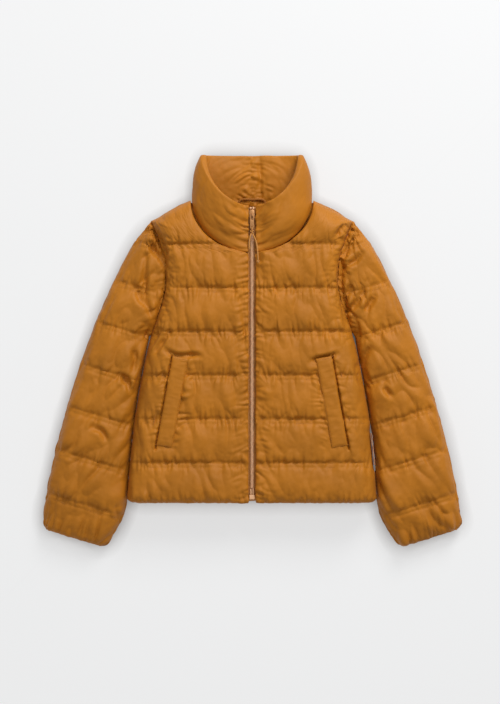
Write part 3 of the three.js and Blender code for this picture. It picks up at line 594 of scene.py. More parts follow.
def finish_of(key):
    """The jacket's finishes, each made once."""
    if key in _materials:
        return _materials[key]
    hue = bpy.context.scene.jacket_colours
    makers = {
        "shell": lambda: cloth_material("mustard taffeta", hue.shell, 0.60, sheen=0.02, crumple=0.0002),
        "lining": lambda: cloth_material("mustard lining", hue.lining, 0.62, sheen=0.05, crumple=0.0002),
        "wadding": lambda: cloth_material("white wadding", (0.8, 0.78, 0.72), 0.95, 0.002, 0.0004),
        "rib": lambda: cloth_material("cuff binding", hue.binding, 0.6, 0.0007, 0.00008, crumple=0.0006),
        "tape": lambda: cloth_material("woven zip tape", hue.tape, 0.75, 0.0009, 0.00012),
        "thread": lambda: cloth_material("sewing thread", hue.thread, 0.6, 0.0002, 0.00003, blotch=0.05),
        "cord": lambda: cloth_material("braided cord", hue.cord, 0.7, 0.0008, 0.0002),
        "label": lambda: cloth_material("blank satin label", hue.label, 0.4, 0.0003, 0.00003, sheen=0.3),
        "teeth": lambda: smooth_material("tan moulded plastic", hue.teeth, 0.38),
        "metal": lambda: smooth_material("mustard painted metal", hue.metal, 0.38, 0.35),
    }
    _materials[key] = makers[key]()
    return _materials[key]


def dress(piece, *keys):
    piece.data.materials.clear()
    for key in keys:
        piece.data.materials.append(finish_of(key))


def settle(piece, body, finish, replaces=()):
    """Names the body, finish and CAD nodes of a finished piece."""
    dress(piece, *([finish] if isinstance(finish, str) else finish))
    if replaces:
        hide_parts(*replaces)
    if body in ("left_sleeve", "right_sleeve") and piece.get("crosses"):
        blend_sleeve(piece)
    else:
        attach(piece, body)


def blend_sleeve(piece):
    """Bakes the piece's placement into its points and leaves it attached to no body, so it does not turn with
    the sleeve.
    """
    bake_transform(piece)


# ---------------------------------------------------------------- quilted panels


def front_columns(left, right, y):
    """Across a front: an even run to the pocket's welt, then over it and on to the side at its slant."""
    counts = (40, 9, 18)
    fractions = np.cumsum(counts) / sum(counts)
    slant = math.tan(WELT_ANGLE) * np.clip(y - WELT_Y, -WELT_LONG / 2, WELT_LONG / 2)
    half = WELT_WIDE / 2 / math.cos(WELT_ANGLE)
    even = smooth(y, 0.31, 0.43)
    inner = lerp(WELT_X - half - slant, lerp(left, right, fractions[0]), even)
    outer = lerp(WELT_X + half - slant, lerp(left, right, fractions[1]), even)
    beyond = np.linspace(outer, right, counts[2] + 1)
    slit = np.concatenate([[outer, outer + 0.0015], np.linspace(outer + 0.0034, right, counts[2] - 1)])
    beyond = lerp(slit, beyond, smooth(abs(y - WELT_Y), WELT_LONG / 2, WELT_LONG / 2 + 0.012))
    return np.concatenate([np.linspace(left, inner, counts[0] + 1)[:-1],
                           np.linspace(inner, outer, counts[1] + 1)[:-1],
                           beyond])


WELT_COLUMNS = (40, 49)


def front_sheet(side, look):
    name = "left_front" if side > 0 else "right_front"
    low_rows = quilt_rows(HEM_START, QUILT_LINES[:-1], QUILT_LINES[-1], look.grid, -2)
    top_rows = quilt_rows(0, [], 1, look.grid / 0.08, -2)
    at = np.concatenate([low_rows[0][:-1], QUILT_LINES[-1] + top_rows[0] * 0.08])
    swell = np.concatenate([low_rows[1][:-1], top_rows[1]])
    sewn_rows = np.concatenate([low_rows[2][:-1], top_rows[2]])
    yoke = np.concatenate([np.zeros(len(low_rows[0]) - 1), top_rows[0]])
    tack = low_rows[3] + [len(low_rows[0]) - 1 - 2]
    x_rows, y_rows = [], []
    for row, share in zip(at, yoke):
        left_y = lerp(QUILT_LINES[-1], BODY_LENGTH, share) if share else row
        right_y = lerp(QUILT_LINES[-1], SHOULDER_Y, share) if share else row
        left_x = max(FRONT_EDGE, float(neck_x(left_y, NECK_DROP_FRONT)))
        columns = front_columns(left_x, float(side_x(right_y) + beside_room(right_y, side)), row)
        x_rows.append(columns)
        y_rows.append(lerp(left_y, right_y, (columns - columns[0]) / (columns[-1] - columns[0])))
    x, y = np.array(x_rows), np.array(y_rows)
    from_side = side_x(np.minimum(y, SHOULDER_Y)) + beside_room(y, side) - x
    slope = (SHOULDER_HALF - NECK_HALF) / math.hypot(SHOULDER_HALF - NECK_HALF, BODY_LENGTH - SHOULDER_Y)
    to_edge = np.clip(np.minimum(from_side, (shoulder_y(x) - y) * slope), 0, None)
    to_neck = np.where(y > BODY_LENGTH - NECK_DROP_FRONT, x - neck_x(y, NECK_DROP_FRONT), 1)
    to_zip = np.where(y < BODY_LENGTH - NECK_DROP_FRONT, x - FRONT_EDGE, 1)
    middle = lerp(FRONT_Z, seam_height(x, y, 1), turn_down(to_edge, BODY_EDGE))
    rim = np.minimum(np.clip(to_edge / 0.012, 0, 1), np.clip((y - HEM_START) / HEM_ROLL + 0.1, 0, 1) ** 0.5)
    lumps = lumpy(x * side, y, look, 3 if side > 0 else 8)
    puff = swell[:, None] * np.minimum.reduce([full_loft(to_edge), full_loft(to_neck, 0.02),
                                               full_loft(to_zip, 0.030)])
    rise = SEWN_HALF * rim + BODY_PUFF * puff * lumps
    sewn = np.repeat(sewn_rows[:, None], x.shape[1], 1)
    rise[sewn_rows] = np.minimum(rise, 0.0035 * rim)[sewn_rows]
    for row in tack:
        sewn[row] = True
        rise[row] = (0.0055 * rim + 0.0008 * lumps)[row]
    sewn[:, 0] = sewn[:, -1] = True
    pocket = np.abs(y - WELT_Y) < WELT_LONG / 2 / math.cos(WELT_ANGLE) + 0.001
    low, high = WELT_COLUMNS
    under_welt = pocket.copy()
    under_welt[:, :low] = under_welt[:, high + 1:] = False
    rise[under_welt] = WELT_HIGH.z - LIFT - 0.0038 - FRONT_Z
    sewn |= under_welt
    slit = pocket.copy()
    slit[:, :high + 1] = slit[:, high + 2:] = False
    rise[slit] = -0.003
    sewn |= slit
    start = np.stack([x * side, y, middle + rise], -1)
    inner_puff = np.maximum(swell[:, None] * full_loft(to_edge) * full_loft(x - FRONT_EDGE, 0.03), 0)
    inside = np.stack([x * side, y, middle - SEWN_HALF * rim - 0.008 * inner_puff], -1)
    sheet = Sheet(name, start, sewn, inside, 0.016, 11 if side > 0 else 12)
    sheet.lines = np.flatnonzero(sewn_rows)[1:-1].tolist() + tack
    return sheet


def back_sheet(look):
    low_rows = quilt_rows(HEM_START, QUILT_LINES[:-1], QUILT_LINES[-1], look.back_grid, -2)
    top_rows = quilt_rows(0, [], 1, look.back_grid / 0.08, -2)
    at = np.concatenate([low_rows[0][:-1], np.full(len(top_rows[0]), QUILT_LINES[-1])])
    share = np.concatenate([np.zeros(len(low_rows[0]) - 1), top_rows[0]])
    swell = np.concatenate([low_rows[1][:-1], top_rows[1]])
    sewn_rows = np.concatenate([low_rows[2][:-1], top_rows[2]])
    tack = low_rows[3] + [len(low_rows[0]) - 1 - 2]
    across = np.linspace(-1, 1, round(2 * CHEST_HALF / look.back_grid))
    side = np.where(share > 0, lerp(QUILT_LINES[-1], SHOULDER_Y, share), at)
    half = side_x(side)[:, None] + beside_room(side[:, None], across)
    x = half * across
    reach = np.clip(np.abs(x) / NECK_HALF, 0, 1)
    top = np.where(np.abs(x) < NECK_HALF, BODY_LENGTH - NECK_DROP_BACK * np.sqrt(1 - reach**2),
                   shoulder_y(np.abs(x)))
    y = lerp(at[:, None], top, share[:, None])
    from_side = half - np.abs(x)
    slope = (SHOULDER_HALF - NECK_HALF) / math.hypot(SHOULDER_HALF - NECK_HALF, BODY_LENGTH - SHOULDER_Y)
    to_edge = np.clip(np.minimum(from_side, (shoulder_y(np.abs(x)) - y) * slope), 0, None)
    to_edge = np.where((np.abs(x) < NECK_HALF) & (share[:, None] > 0.6), np.minimum(from_side, BODY_EDGE),
                       to_edge)
    middle = lerp(BACK_Z, seam_height(np.abs(x), y, -1), turn_down(to_edge, BODY_EDGE))
    rim = np.minimum(np.clip(to_edge / 0.012, 0, 1), np.clip((y - HEM_START) / HEM_ROLL + 0.1, 0, 1) ** 0.5)
    puff = swell[:, None] * full_loft(to_edge)
    rise = SEWN_HALF * rim + BODY_PUFF * puff * lumpy(x, y, look, 21)
    rise[sewn_rows] = np.minimum(rise, 0.0035 * rim)[sewn_rows]
    sewn = np.repeat(sewn_rows[:, None], x.shape[1], 1)
    for row in tack:
        sewn[row] = True
        rise[row] = (0.0055 * rim)[row]
    sewn[:, 0] = sewn[:, -1] = True
    start = np.stack([x, y, middle - rise], -1)
    inside = np.stack([x, y, middle + SEWN_HALF * rim + 0.008 * puff], -1)
    sheet = Sheet("back_panel", start, sewn, inside, 0.014, 13)
    sheet.lines = np.flatnonzero(sewn_rows)[1:-1].tolist() + tack
    return sheet


def sleeve_sheet(side, layer, look):
    """Half of a sleeve: layer is 1 for the upper half and -1 for the under one."""
    at, swell, sewn_rows, tack = quilt_rows(0.002, SLEEVE_LINES, SLEEVE_END, look.grid, 2)
    inner, outer = sleeve_sides(at, side)
    rounding = 0.009 * turn_down(SLEEVE_END - at, 0.016)
    inner, outer = inner + rounding, outer - rounding
    fraction = np.linspace(0, 1, 40)
    across = lerp(inner[:, None], outer[:, None], fraction)
    length = np.repeat(at[:, None], len(fraction), 1)
    x, y = to_body(across, length, 1)
    taper = smooth(at, SLEEVE_END - CUFF_TAPER, SLEEVE_END)[:, None]
    from_edge = np.minimum(across - inner[:, None], outer[:, None] - across)
    at_armhole = length < 0.222
    from_outer = outer[:, None] - across
    from_inner = np.where(at_armhole, 1.0, across - inner[:, None])
    seam = lerp(SLEEVE_SEAM_Z, CUFF_Z, taper) + layer * 0.0005
    flat = lerp(SLEEVE_UPPER_Z if layer > 0 else SLEEVE_UNDER_Z, CUFF_Z + layer * (CUFF_TALL / 2 - SEWN_HALF),
                taper)
    edge = np.minimum(from_outer, from_inner)
    middle = lerp(flat, seam, turn_down(edge, SLEEVE_EDGE))
    hole = armhole_gap(x, y)
    near_hole = 1 - smooth(hole, 0, 0.03)
    middle = lerp(middle, seam_height(x, np.clip(y, UNDERARM_Y, SHOULDER_Y), layer), near_hole)
    rim = np.clip(np.minimum(edge, hole) / 0.012, 0, 1)
    rim = np.minimum(rim, np.clip((SLEEVE_END - at) / CUFF_ROLL + 0.1, 0, 1)[:, None] ** 0.5)
    puff = swell[:, None] * np.minimum(full_loft(from_edge), full_loft(hole))
    size = lerp(SLEEVE_PUFF, 0.005, taper)
    rise = SEWN_HALF * rim + size * puff * lumpy(x * side, y, look, 30 + layer)
    rise[sewn_rows] = np.minimum(rise, 0.0035 * rim)[sewn_rows]
    sewn = np.repeat(sewn_rows[:, None], x.shape[1], 1)
    for row in tack:
        sewn[row] = True
        rise[row] = (0.005 * rim)[row]
    sewn[:, 0] = sewn[:, -1] = True
    sewn[at < 0.012] = True
    start = np.stack([x * side, y, middle + layer * rise], -1)
    inside = np.stack([x * side, y, middle - layer * (SEWN_HALF * rim + 0.006 * puff)], -1)
    name = f"{'left' if side > 0 else 'right'}_sleeve_{'upper' if layer > 0 else 'under'}"
    sheet = Sheet(name, start, sewn, inside, 0.014, 40 + side * 3 + layer)
    sheet.cut = (0.17, 0.06, 0)
    sheet.lines = np.flatnonzero(sewn_rows)[1:-1].tolist() + tack
    return sheet


def lumpy(x, y, look, seed):
    """Padding is never even: a slow change of fullness along and across the channels."""
    flat = np.stack([x.ravel() / 0.075, y.ravel() / 0.06], -1)
    values = np.array([noise.noise(Vector((a, b, seed * 3.7))) for a, b in flat]).reshape(x.shape)
    return 1 + look.lumps * values


def collar_angles(share, half, count):
    """Round the neck from one edge of the zip to the other."""
    start = np.arcsin(FRONT_EDGE / half)
    return lerp(start, 2 * np.pi - start, np.linspace(0, 1, count))


def collar_middle(angle, share):
    facing = np.cos(angle)
    half = lerp(COLLAR_BASE, COLLAR_TOP, share)
    front = facing > 0
    base = BODY_LENGTH - np.where(front, NECK_DROP_FRONT, NECK_DROP_BACK) * np.abs(facing)
    top = BODY_LENGTH + COLLAR_RISE - np.where(front, NECK_DROP_FRONT * np.abs(facing) ** COLLAR_DIP, 0)
    z = COLLAR_MID_Z + COLLAR_REACH_Z * np.sign(facing) * np.abs(facing) ** COLLAR_SQUARENESS + 0.001
    lean = COLLAR_LEAN * share * np.clip(facing, 0, 1) ** 0.5 * smooth(half * np.abs(np.sin(angle)), 0.012,
                                                                       0.05)
    z = z + lean
    return np.stack([half * np.sin(angle), lerp(base, top, share), z], -1)


def collar_sheets(look):
    """The outside and the inside of the collar, which close into one pad."""
    columns, rows = 136, 27
    share = np.linspace(0, 1, rows)[:, None] * np.ones((1, columns))
    half = lerp(COLLAR_BASE, COLLAR_TOP, share)
    angle = np.stack([collar_angles(s[0], h[0], columns) for s, h in zip(share, half)])
    middle = collar_middle(angle, share)
    ahead = collar_middle(angle + 0.02, share) - collar_middle(angle - 0.02, share)
    out = np.stack([-ahead[..., 2], 0 * ahead[..., 0], ahead[..., 0]], -1)
    out /= np.linalg.norm(out, axis=-1, keepdims=True)
    from_zip = np.where(np.cos(angle) > 0, half * np.abs(np.sin(angle)) - FRONT_EDGE, 1)
    puff = np.sin(np.pi * np.clip(share * 0.93, 0, 1)) ** 0.55 * full_loft(from_zip, 0.05)
    lumps = lumpy(middle[..., 0] + middle[..., 2], middle[..., 1], look, 55)
    sewn = np.zeros(share.shape, bool)
    sewn[0] = sewn[-1] = True
    sewn[:, 0] = sewn[:, -1] = True
    sheets = []
    for name, way, seed in (("collar", 1, 50), ("collar_inside", -1, 51)):
        pinned = sewn.copy()
        if way < 0:
            seam = np.argmin(np.abs(middle[rows // 2, :, 0] - 0.019) + 10 * (np.cos(angle[rows // 2]) > 0))
            pinned[:, seam] = True
        rise = 0.0012 + np.where(pinned & (share > 0) & (share < 1), 0.002, 0.0085 * puff * lumps)
        start = middle + out * (way * rise)[..., None]
        sheets.append(Sheet(name, start, pinned, middle, 0.014, seed))
        sheets[-1].cut = (0.05, 0.11, 0.05)
    return sheets


def build_panels(look):
    sleeves = [sleeve_sheet(side, layer, look) for side in (1, -1) for layer in (1, -1)]
    fronts = [front_sheet(1, look), front_sheet(-1, look)]
    back = back_sheet(look)
    collar, collar_inside = collar_sheets(look)
    blow_up([*fronts, back, *sleeves, collar, collar_inside], look)
    return fronts, back, sleeves, collar, collar_inside


def near_lines(lines, reach, axis=1):
    """A weight that is 1 on the given heights and falls to 0 over a distance."""
    heights = np.array(lines) + HEM_Y
    return lambda points: np.exp(-((np.abs(points[:, axis, None] - heights).min(1) / reach) ** 2))


def round_the_neck(points):
    """How far points lie out from the middle of the neck, and how far round it."""
    x, y = points[:, 0] / COLLAR_BASE, (points[:, 1] - HEM_Y - BODY_LENGTH - 0.004) / NECK_DROP_FRONT
    return np.stack([np.hypot(x, y), np.arctan2(x, -y), points[:, 2]], -1)


def below_the_rim(points):
    x = np.clip(np.abs(points[:, 0]) / COLLAR_TOP, 0, 1)
    rim = BODY_LENGTH + COLLAR_RISE - NECK_DROP_FRONT * np.sqrt(1 - x**2) ** COLLAR_DIP
    return smooth(HEM_Y + rim - points[:, 1], 0.008,
                  0.035) * (1 - 0.6 * smooth(np.abs(points[:, 0]), 0.05, 0.12))


def near_zip_top(points):
    return np.exp(-((points[:, 0] / 0.05) ** 2))


def near_armhole(points):
    gap = armhole_gap(np.abs(points[:, 0]), points[:, 1] - HEM_Y)
    return np.exp(-((gap / 0.022) ** 2))


def near_zip(points):
    return np.exp(-(((np.abs(points[:, 0]) - FRONT_EDGE) / 0.026) ** 2))


def near_welt(side, edge):
    """A weight that is 1 along one long edge of a welt, and falls to 0 away from it."""
    def weight(points):
        c, s = math.cos(WELT_ANGLE), math.sin(WELT_ANGLE)
        x, y = side * points[:, 0] - WELT_X, points[:, 1] - HEM_Y - WELT_Y
        across, along = x * c + y * s, y * c - x * s
        beyond = np.clip(edge * across - WELT_WIDE / 2, 0, None)
        return np.exp(-((beyond / 0.016) ** 2)) * (edge * across > WELT_WIDE / 2) * (1 - smooth(abs(along),
                                                                                                0.07, 0.105))
    return weight


def down_sleeve(points):
    x, y = np.abs(points[:, 0]) - SHOULDER_HALF, points[:, 1] - HEM_Y - SHOULDER_Y
    return x * math.sin(SLEEVE_ANGLE) - y * math.cos(SLEEVE_ANGLE)


def near_sleeve_lines(points):
    """A weight that is 1 on the sleeve's quilting lines."""
    away = np.abs(down_sleeve(points)[:, None] - np.array([0, *SLEEVE_LINES])).min(1)
    return np.exp(-((away / 0.018) ** 2))


def near_cuff(points):
    return smooth(down_sleeve(points), SLEEVE_END - 0.075, SLEEVE_END - 0.012)


def stitch_row(points, look, lift):
    """Short threads along a row of points, each a thin hexagonal spindle whose ends dip into the cloth."""
    points = np.asarray(points)
    steps = np.linalg.norm(np.diff(points, axis=0), axis=1)
    run = np.concatenate([[0], np.cumsum(steps)])
    starts = np.arange(0.002, run[-1] - look.stitch, look.stitch)
    rings, faces = [], []
    for start in starts:
        ends = [np.array([np.interp(start + d, run, points[:, k]) for k in range(3)])
                for d in (0.0004, look.stitch - 0.0006)]
        way = ends[1] - ends[0]
        length = np.linalg.norm(way)
        if length < 1e-5:
            continue
        way /= length
        up = lift - way * (lift @ way)
        up /= np.linalg.norm(up)
        across = np.cross(way, up)
        base = len(rings)
        rings.append(ends[0] - up * 0.0002)
        for t in (0.25, 0.75):
            for k in range(5):
                turn = 2 * math.pi * k / 5
                spoke = (across * math.cos(turn) + up * math.sin(turn)) * look.thread
                rings.append(lerp(ends[0], ends[1], t) + up * look.thread * 0.8 + spoke)
        rings.append(ends[1] - up * 0.0002)
        for k in range(5):
            a, b = base + 1 + k, base + 1 + (k + 1) % 5
            faces += [[base, b, a], [a, b, b + 5, a + 5], [base + 11, a + 5, b + 5]]
    return rings, faces


def stitches(name, rows, look, lift):
    """One piece that holds the threads of several rows."""
    points, faces = [], []
    for row in rows:
        more, joined = stitch_row(row, look, np.array(lift, float))
        faces += [[k + len(points) for k in face] for face in joined]
        points += more
    piece = new_object(name, points, faces)
    piece.data.polygons.foreach_set("use_smooth", np.ones(len(faces), bool))
    return piece


# The largest folds, in mm from the zip and the hem: where each sleeve hangs from its armhole, and by the
# pockets.
RIGHT_FOLDS = [
    [(-212, 488), (-214, 440), (-212, 401), (-197, 362)], [(-210, 521), (-196, 500), (-184, 486),
                                                           (-174, 470)],
    [(-192, 541), (-183, 520), (-175, 500), (-171, 480)], [(-206, 306), (-195, 322), (-185, 338)],
    [(-193, 296), (-180, 315), (-166, 336)], [(-172, 300), (-150, 289), (-122, 290), (-104, 289)],
    [(-228, 420), (-224, 404), (-216, 390)], [(-262, 250), (-250, 236), (-242, 218)],
    [(-290, 120), (-300, 138), (-318, 146)], [(-236, 300), (-232, 280), (-236, 262)],
]
LEFT_FOLDS = [
    [(176, 476), (177, 431), (183, 386), (188, 348)], [(215, 532), (200, 519), (190, 503), (179, 478)],
    [(217, 493), (207, 479), (191, 470), (178, 462)], [(199, 431), (188, 406), (182, 392)],
    [(221, 414), (203, 388), (187, 378)], [(235, 305), (221, 283), (213, 266)],
    [(205, 276), (216, 238), (232, 224)], [(263, 226), (270, 216), (278, 208)],
    [(243, 406), (235, 392), (227, 378)], [(170, 528), (178, 540), (187, 549)],
    [(119, 279), (143, 284), (168, 292)],
]


class JACKET_OT_panels(bpy.types.Operator):
    """Fronts, back, sleeves and collar, blown up together and closed into pads"""

    bl_idname = "jacket.panels"
    bl_label = "Quilted panels"

    def execute(self, context):
        look = context.scene.jacket_look
        fronts, back, sleeves, collar, collar_inside = build_panels(look)
        for sheet in fronts:
            pad = make_pad(sheet)
            refine(pad)
            side = 1 if sheet is fronts[0] else -1
            wrinkle(pad, look.crease, (0.026, 0.070, 0.05), 4, 0.2)
            wrinkle(pad, look.pucker, (0.0115, 0.036, 0.03), 1, 0,
                    near_lines([HEM_START + 0.002, *QUILT_LINES], 0.022))
            wrinkle(pad, look.pucker, (0.034, 0.0115, 0.03), 2, -0.35 * side, near_zip)
            for edge in (-1, 1):
                wrinkle(pad, look.pucker, (0.028, 0.0115, 0.03), 3, -WELT_ANGLE * side, near_welt(side, edge))
            wrinkle(pad, look.pucker, (0.030, 0.0125, 0.03), 12, 0.3 * side, near_armhole)
            press_folds(pad, LEFT_FOLDS if side > 0 else RIGHT_FOLDS, look.fold, 0.0075)
            give_way_to_cord(pad)
            layers = [f"{sheet.name}_{layer}" for layer in ("shell", "fill", "lining", "hem_band")]
            settle(pad, "jacket", ("shell", "lining"), layers)
            self.sew(sheet, "jacket", look, (0, 0, 1), False)
        pad = make_pad(back, floor=0.0005)
        refine(pad)
        wrinkle(pad, look.crease, (0.030, 0.075, 0.05), 6, 0.1)
        wrinkle(pad, look.pucker, (0.0135, 0.040, 0.03), 5, 0,
                near_lines([HEM_START + 0.002, *QUILT_LINES], 0.022))
        settle(pad, "jacket", ("shell", "lining"), ["back_shell", "back_fill", "back_lining",
                                                    "back_hem_band"])
        self.sew(back, "jacket", look, (0, 0, -1), False)
        for sheet in sleeves:
            body = "_".join(sheet.name.split("_")[:2])
            pad = make_pad(sheet, floor=0.0005 if sheet.name.endswith("under") else None)
            refine(pad)
            tilt = SLEEVE_ANGLE if sheet.name.startswith("left") else -SLEEVE_ANGLE
            wrinkle(pad, look.crease * 1.5, (0.027, 0.060, 0.05), 8, tilt * 1.6)
            wrinkle(pad, look.pucker, (0.0125, 0.036, 0.03), 7, tilt, near_sleeve_lines)
            wrinkle(pad, look.gather, (0.015, 0.10, 0.05), 11, tilt, near_cuff)
            wrinkle(pad, look.pucker * 1.4, (0.032, 0.014, 0.03), 13, -tilt * 1.5, near_armhole)
            if sheet.name.endswith("upper"):
                press_folds(pad, LEFT_FOLDS if tilt > 0 else RIGHT_FOLDS, look.fold, 0.0085)
            pad["crosses"] = True
            settle(pad, body, ("shell", "lining"), [f"{sheet.name}_{layer}" for layer in ("shell", "fill",
                                                                                          "lining")])
            self.sew(sheet, body, look, (0, 0, -1 if sheet.name.endswith("under") else 1), True)
        collar.inside = collar_inside.end
        pad = make_pad(collar, floor=0.0005)
        refine(pad)
        wrinkle(pad, look.crease * 1.3, (0.22, 1.6, 0.08), 9, weight=below_the_rim, laid=round_the_neck)
        wrinkle(pad, look.pucker, (0.10, 0.5, 0.06), 14, weight=near_zip_top, laid=round_the_neck)
        settle(pad, "jacket", ("shell", "lining"), ["collar_shell", "collar_fill", "collar_lining"])
        return {"FINISHED"}

    @staticmethod
    def sew(sheet, body, look, lift, crosses):
        rows = [place(sheet.end[row])[2:-2] for row in sheet.lines]
        piece = stitches(sheet.name + "_stitching", rows, look, lift)
        piece["crosses"] = crosses
        settle(piece, body, "thread")


# ---------------------------------------------------------------- cuffs


def ribbon(name, path, section, closed_path=False):
    """Sweeps a closed section along a path. section(k) gives the ring's offsets as rows of x, y, z."""
    rings = [np.asarray(path[k]) + section(k) for k in range(len(path))]
    size = len(rings[0])
    faces = []
    count = len(path) if closed_path else len(path) - 1
    for k in range(count):
        a, b = k * size, (k + 1) % len(path) * size
        faces += [[a + i, a + (i + 1) % size, b + (i + 1) % size, b + i] for i in range(size)]
    if not closed_path:
        faces += [list(range(size))[::-1], [(len(path) - 1) * size + i for i in range(size)]]
    piece = new_object(name, np.concatenate(rings), faces)
    tidy_normals(piece)
    return piece


def cuff_centre():
    inner, outer = sleeve_sides(np.array([0.648]))
    return float(inner[0] + outer[0]) / 2, float(outer[0] - inner[0]) / 2


def cuff_ring(name, side, seed):
    """The gathered elastic inside the end of a sleeve: a soft ring with ruffles across it."""
    centre, half = cuff_centre()
    around, along = 180, 12
    turn = np.linspace(0, 2 * np.pi, around, endpoint=False)
    ruffle = np.array([noise.noise(Vector((math.cos(t) * 9, math.sin(t) * 9, seed))) for t in turn])
    slow = np.array([noise.noise(Vector((math.cos(t) * 2, math.sin(t) * 2, seed + 3))) for t in turn])
    profile = []
    for k in range(along):
        swing = 2 * math.pi * k / along
        profile.append((math.cos(swing), math.sin(swing)))
    points, faces = [], []
    for t, fine, coarse in zip(turn, ruffle, slow):
        for outward, down in profile:
            depth = 0.0105 - outward * (0.0018 + 0.0008 * fine)
            length = lerp(CUFF_START, CUFF_END, 0.5) + down * 0.0058 + 0.0012 * coarse * (down > 0)
            wide, tall = half - depth, CUFF_TALL / 2 - depth
            across = centre + wide * math.sin(t)
            z = CUFF_Z + tall * math.copysign(abs(math.cos(t)) ** 0.5, math.cos(t))
            x, y = to_body(across, length, side)
            points.append((x, y, z))
    for i in range(around):
        for k in range(along):
            a, b = i * along, (i + 1) % around * along
            faces.append([a + k, a + (k + 1) % along, b + (k + 1) % along, b + k])
    piece = new_object(name, place(points), faces)
    tidy_normals(piece)
    refine(piece)
    return piece


class JACKET_OT_edges(bpy.types.Operator):
    """The gathered cuffs"""

    bl_idname = "jacket.edges"
    bl_label = "Cuffs"

    def execute(self, context):
        for side, name in ((1, "left"), (-1, "right")):
            cuff = cuff_ring(f"{name}_cuff", side, 5 + side)
            settle(cuff, f"{name}_sleeve", "rib", [f"{name}_cuff_binding", f"{name}_cuff_elastic"])
        return {"FINISHED"}


# ---------------------------------------------------------------- pockets


def in_welt(points, side):
    """From the welt's own frame, across it and along it, to the body's."""
    c, s = math.cos(WELT_ANGLE), math.sin(WELT_ANGLE)
    points = np.asarray(points, float)
    x = WELT_X + points[..., 0] * c - points[..., 1] * s
    y = WELT_Y + points[..., 0] * s + points[..., 1] * c
    return np.stack([side * x, y, points[..., 2]], -1)


def welt(name, side):
    """A padded strip that is sewn down at its ends and its inner edge."""
    across, along = 13, 61
    u = np.linspace(-1, 1, across)
    v = np.linspace(-1, 1, along)
    U, V = np.meshgrid(u, v)
    crown = np.clip(1 - np.abs(V) ** 8, 0, 1) ** 0.5 * np.clip(1 - np.abs(U) ** 5, 0, 1) ** 0.5
    bumps = np.array([noise.noise(Vector((a * 1.5, b * 7, side * 2.0))) for a,
                      b in zip(U.ravel(), V.ravel())])
    pleats = np.array([noise.noise(Vector((a * 0.7, b * 22, side * 5.0))) for a,
                       b in zip(U.ravel(), V.ravel())])
    top_z = WELT_HIGH.z - LIFT
    lift = 0.0042 * crown * (0.85 + 0.25 * bumps.reshape(U.shape)) + 0.0010 * pleats.reshape(U.shape) * crown
    top = np.stack([U * (WELT_WIDE / 2), V * WELT_LONG / 2, top_z - 0.0036 + lift], -1)
    under = np.stack([U * (WELT_WIDE / 2), V * WELT_LONG / 2, np.full(U.shape, top_z - 0.0040)], -1)
    sheet = Sheet(name, in_welt(top, side), np.zeros(U.shape, bool), in_welt(under, side), 0, 0)
    piece = make_pad(sheet)
    refine(piece)
    return piece


def softened_copy(name, node_name, width):
    """A CAD node's shape with its edges rounded and its flat faces eased."""
    source = frame["nodes"][node_name]
    piece = bpy.data.objects.new(name, source.data.copy())
    bpy.context.collection.objects.link(piece)
    tidy_normals(piece, merge=0.00001)
    apply_modifier(piece, "BEVEL", width=width, segments=3, limit_method="ANGLE", angle_limit=0.6)
    piece.data.polygons.foreach_set("use_smooth", np.ones(len(piece.data.polygons), bool))
    select_only(piece)
    bpy.ops.object.shade_smooth_by_angle(angle=0.7)
    return piece


class JACKET_OT_pockets(bpy.types.Operator):
    """Slanted welts, their stitching and the pocket bags behind the fronts"""

    bl_idname = "jacket.pockets"
    bl_label = "Pockets"

    def execute(self, context):
        look = context.scene.jacket_look
        for side, name in ((1, "left"), (-1, "right")):
            piece = welt(f"{name}_welt", side)
            settle(piece, "jacket", ("shell", "lining"), [f"{name}_pocket_welt"])
            z = WELT_HIGH.z - LIFT - 0.0020
            inset, half = WELT_WIDE / 2 - 0.0022, WELT_LONG / 2 - 0.0025
            runs = [np.stack([np.full(40, -inset), np.linspace(-half, half, 40), np.full(40, z)], -1)]
            for end in (-half, half):
                runs.append(np.stack([np.linspace(-inset, inset, 12), np.full(12, end), np.full(12, z)], -1))
            rows = [place(in_welt(run, side)) + np.array([0, 0, 0.0014]) for run in runs]
            settle(stitches(f"{name}_welt_stitching", rows, look, (0, 0, 1)), "jacket", "thread")
            bag = softened_copy(f"{name}_bag", f"{name}_pocket_bag", 0.0005)
            settle(bag, "jacket", "lining", [f"{name}_pocket_bag"])
        return {"FINISHED"}


# ---------------------------------------------------------------- zip


def rounded_block(name, low, high, radius):
    bpy.ops.object.select_all(action="DESELECT")
    low, high = Vector(low), Vector(high)
    bpy.ops.mesh.primitive_cube_add(size=1, location=(low + high) / 2)
    piece = bpy.context.object
    piece.name = piece.data.name = name
    piece.scale = high - low
    bpy.ops.object.transform_apply(location=True, rotation=True, scale=True)
    apply_modifier(piece, "BEVEL", width=radius, segments=3, limit_method="NONE")
    piece.data.polygons.foreach_set("use_smooth", np.ones(len(piece.data.polygons), bool))
    return piece


def one_tooth(pitch):
    """A zip tooth on the left tape: a neck from the tape with a wider head over the middle."""
    deep, half = (TEETH_HIGH.z - TEETH_LOW.z) / 2, pitch * 0.27
    outline = [(0.0036, -half * 0.8), (0.0014, -half * 0.8), (0.0006, -half * 1.5), (-0.0007, -half * 1.2),
               (-0.0007, half * 1.2), (0.0006, half * 1.5), (0.0014, half * 0.8), (0.0036, half * 0.8)]
    points = [(x, y, z) for z in (-deep, -deep * 0.6, deep * 0.6, deep) for x, y in
              [(lerp(0.0014, x, 0.8 if abs(z) == deep else 1), y * (0.75 if abs(z) == deep else 1)) for x,
               y in outline]]
    size = len(outline)
    faces = [[k * size + i, k * size + (i + 1) % size, (k + 1) * size + (i + 1) % size, (k + 1) * size + i]
             for k in range(3) for i in range(size)]
    faces += [list(range(size))[::-1], [3 * size + i for i in range(size)]]
    return np.array(points), faces


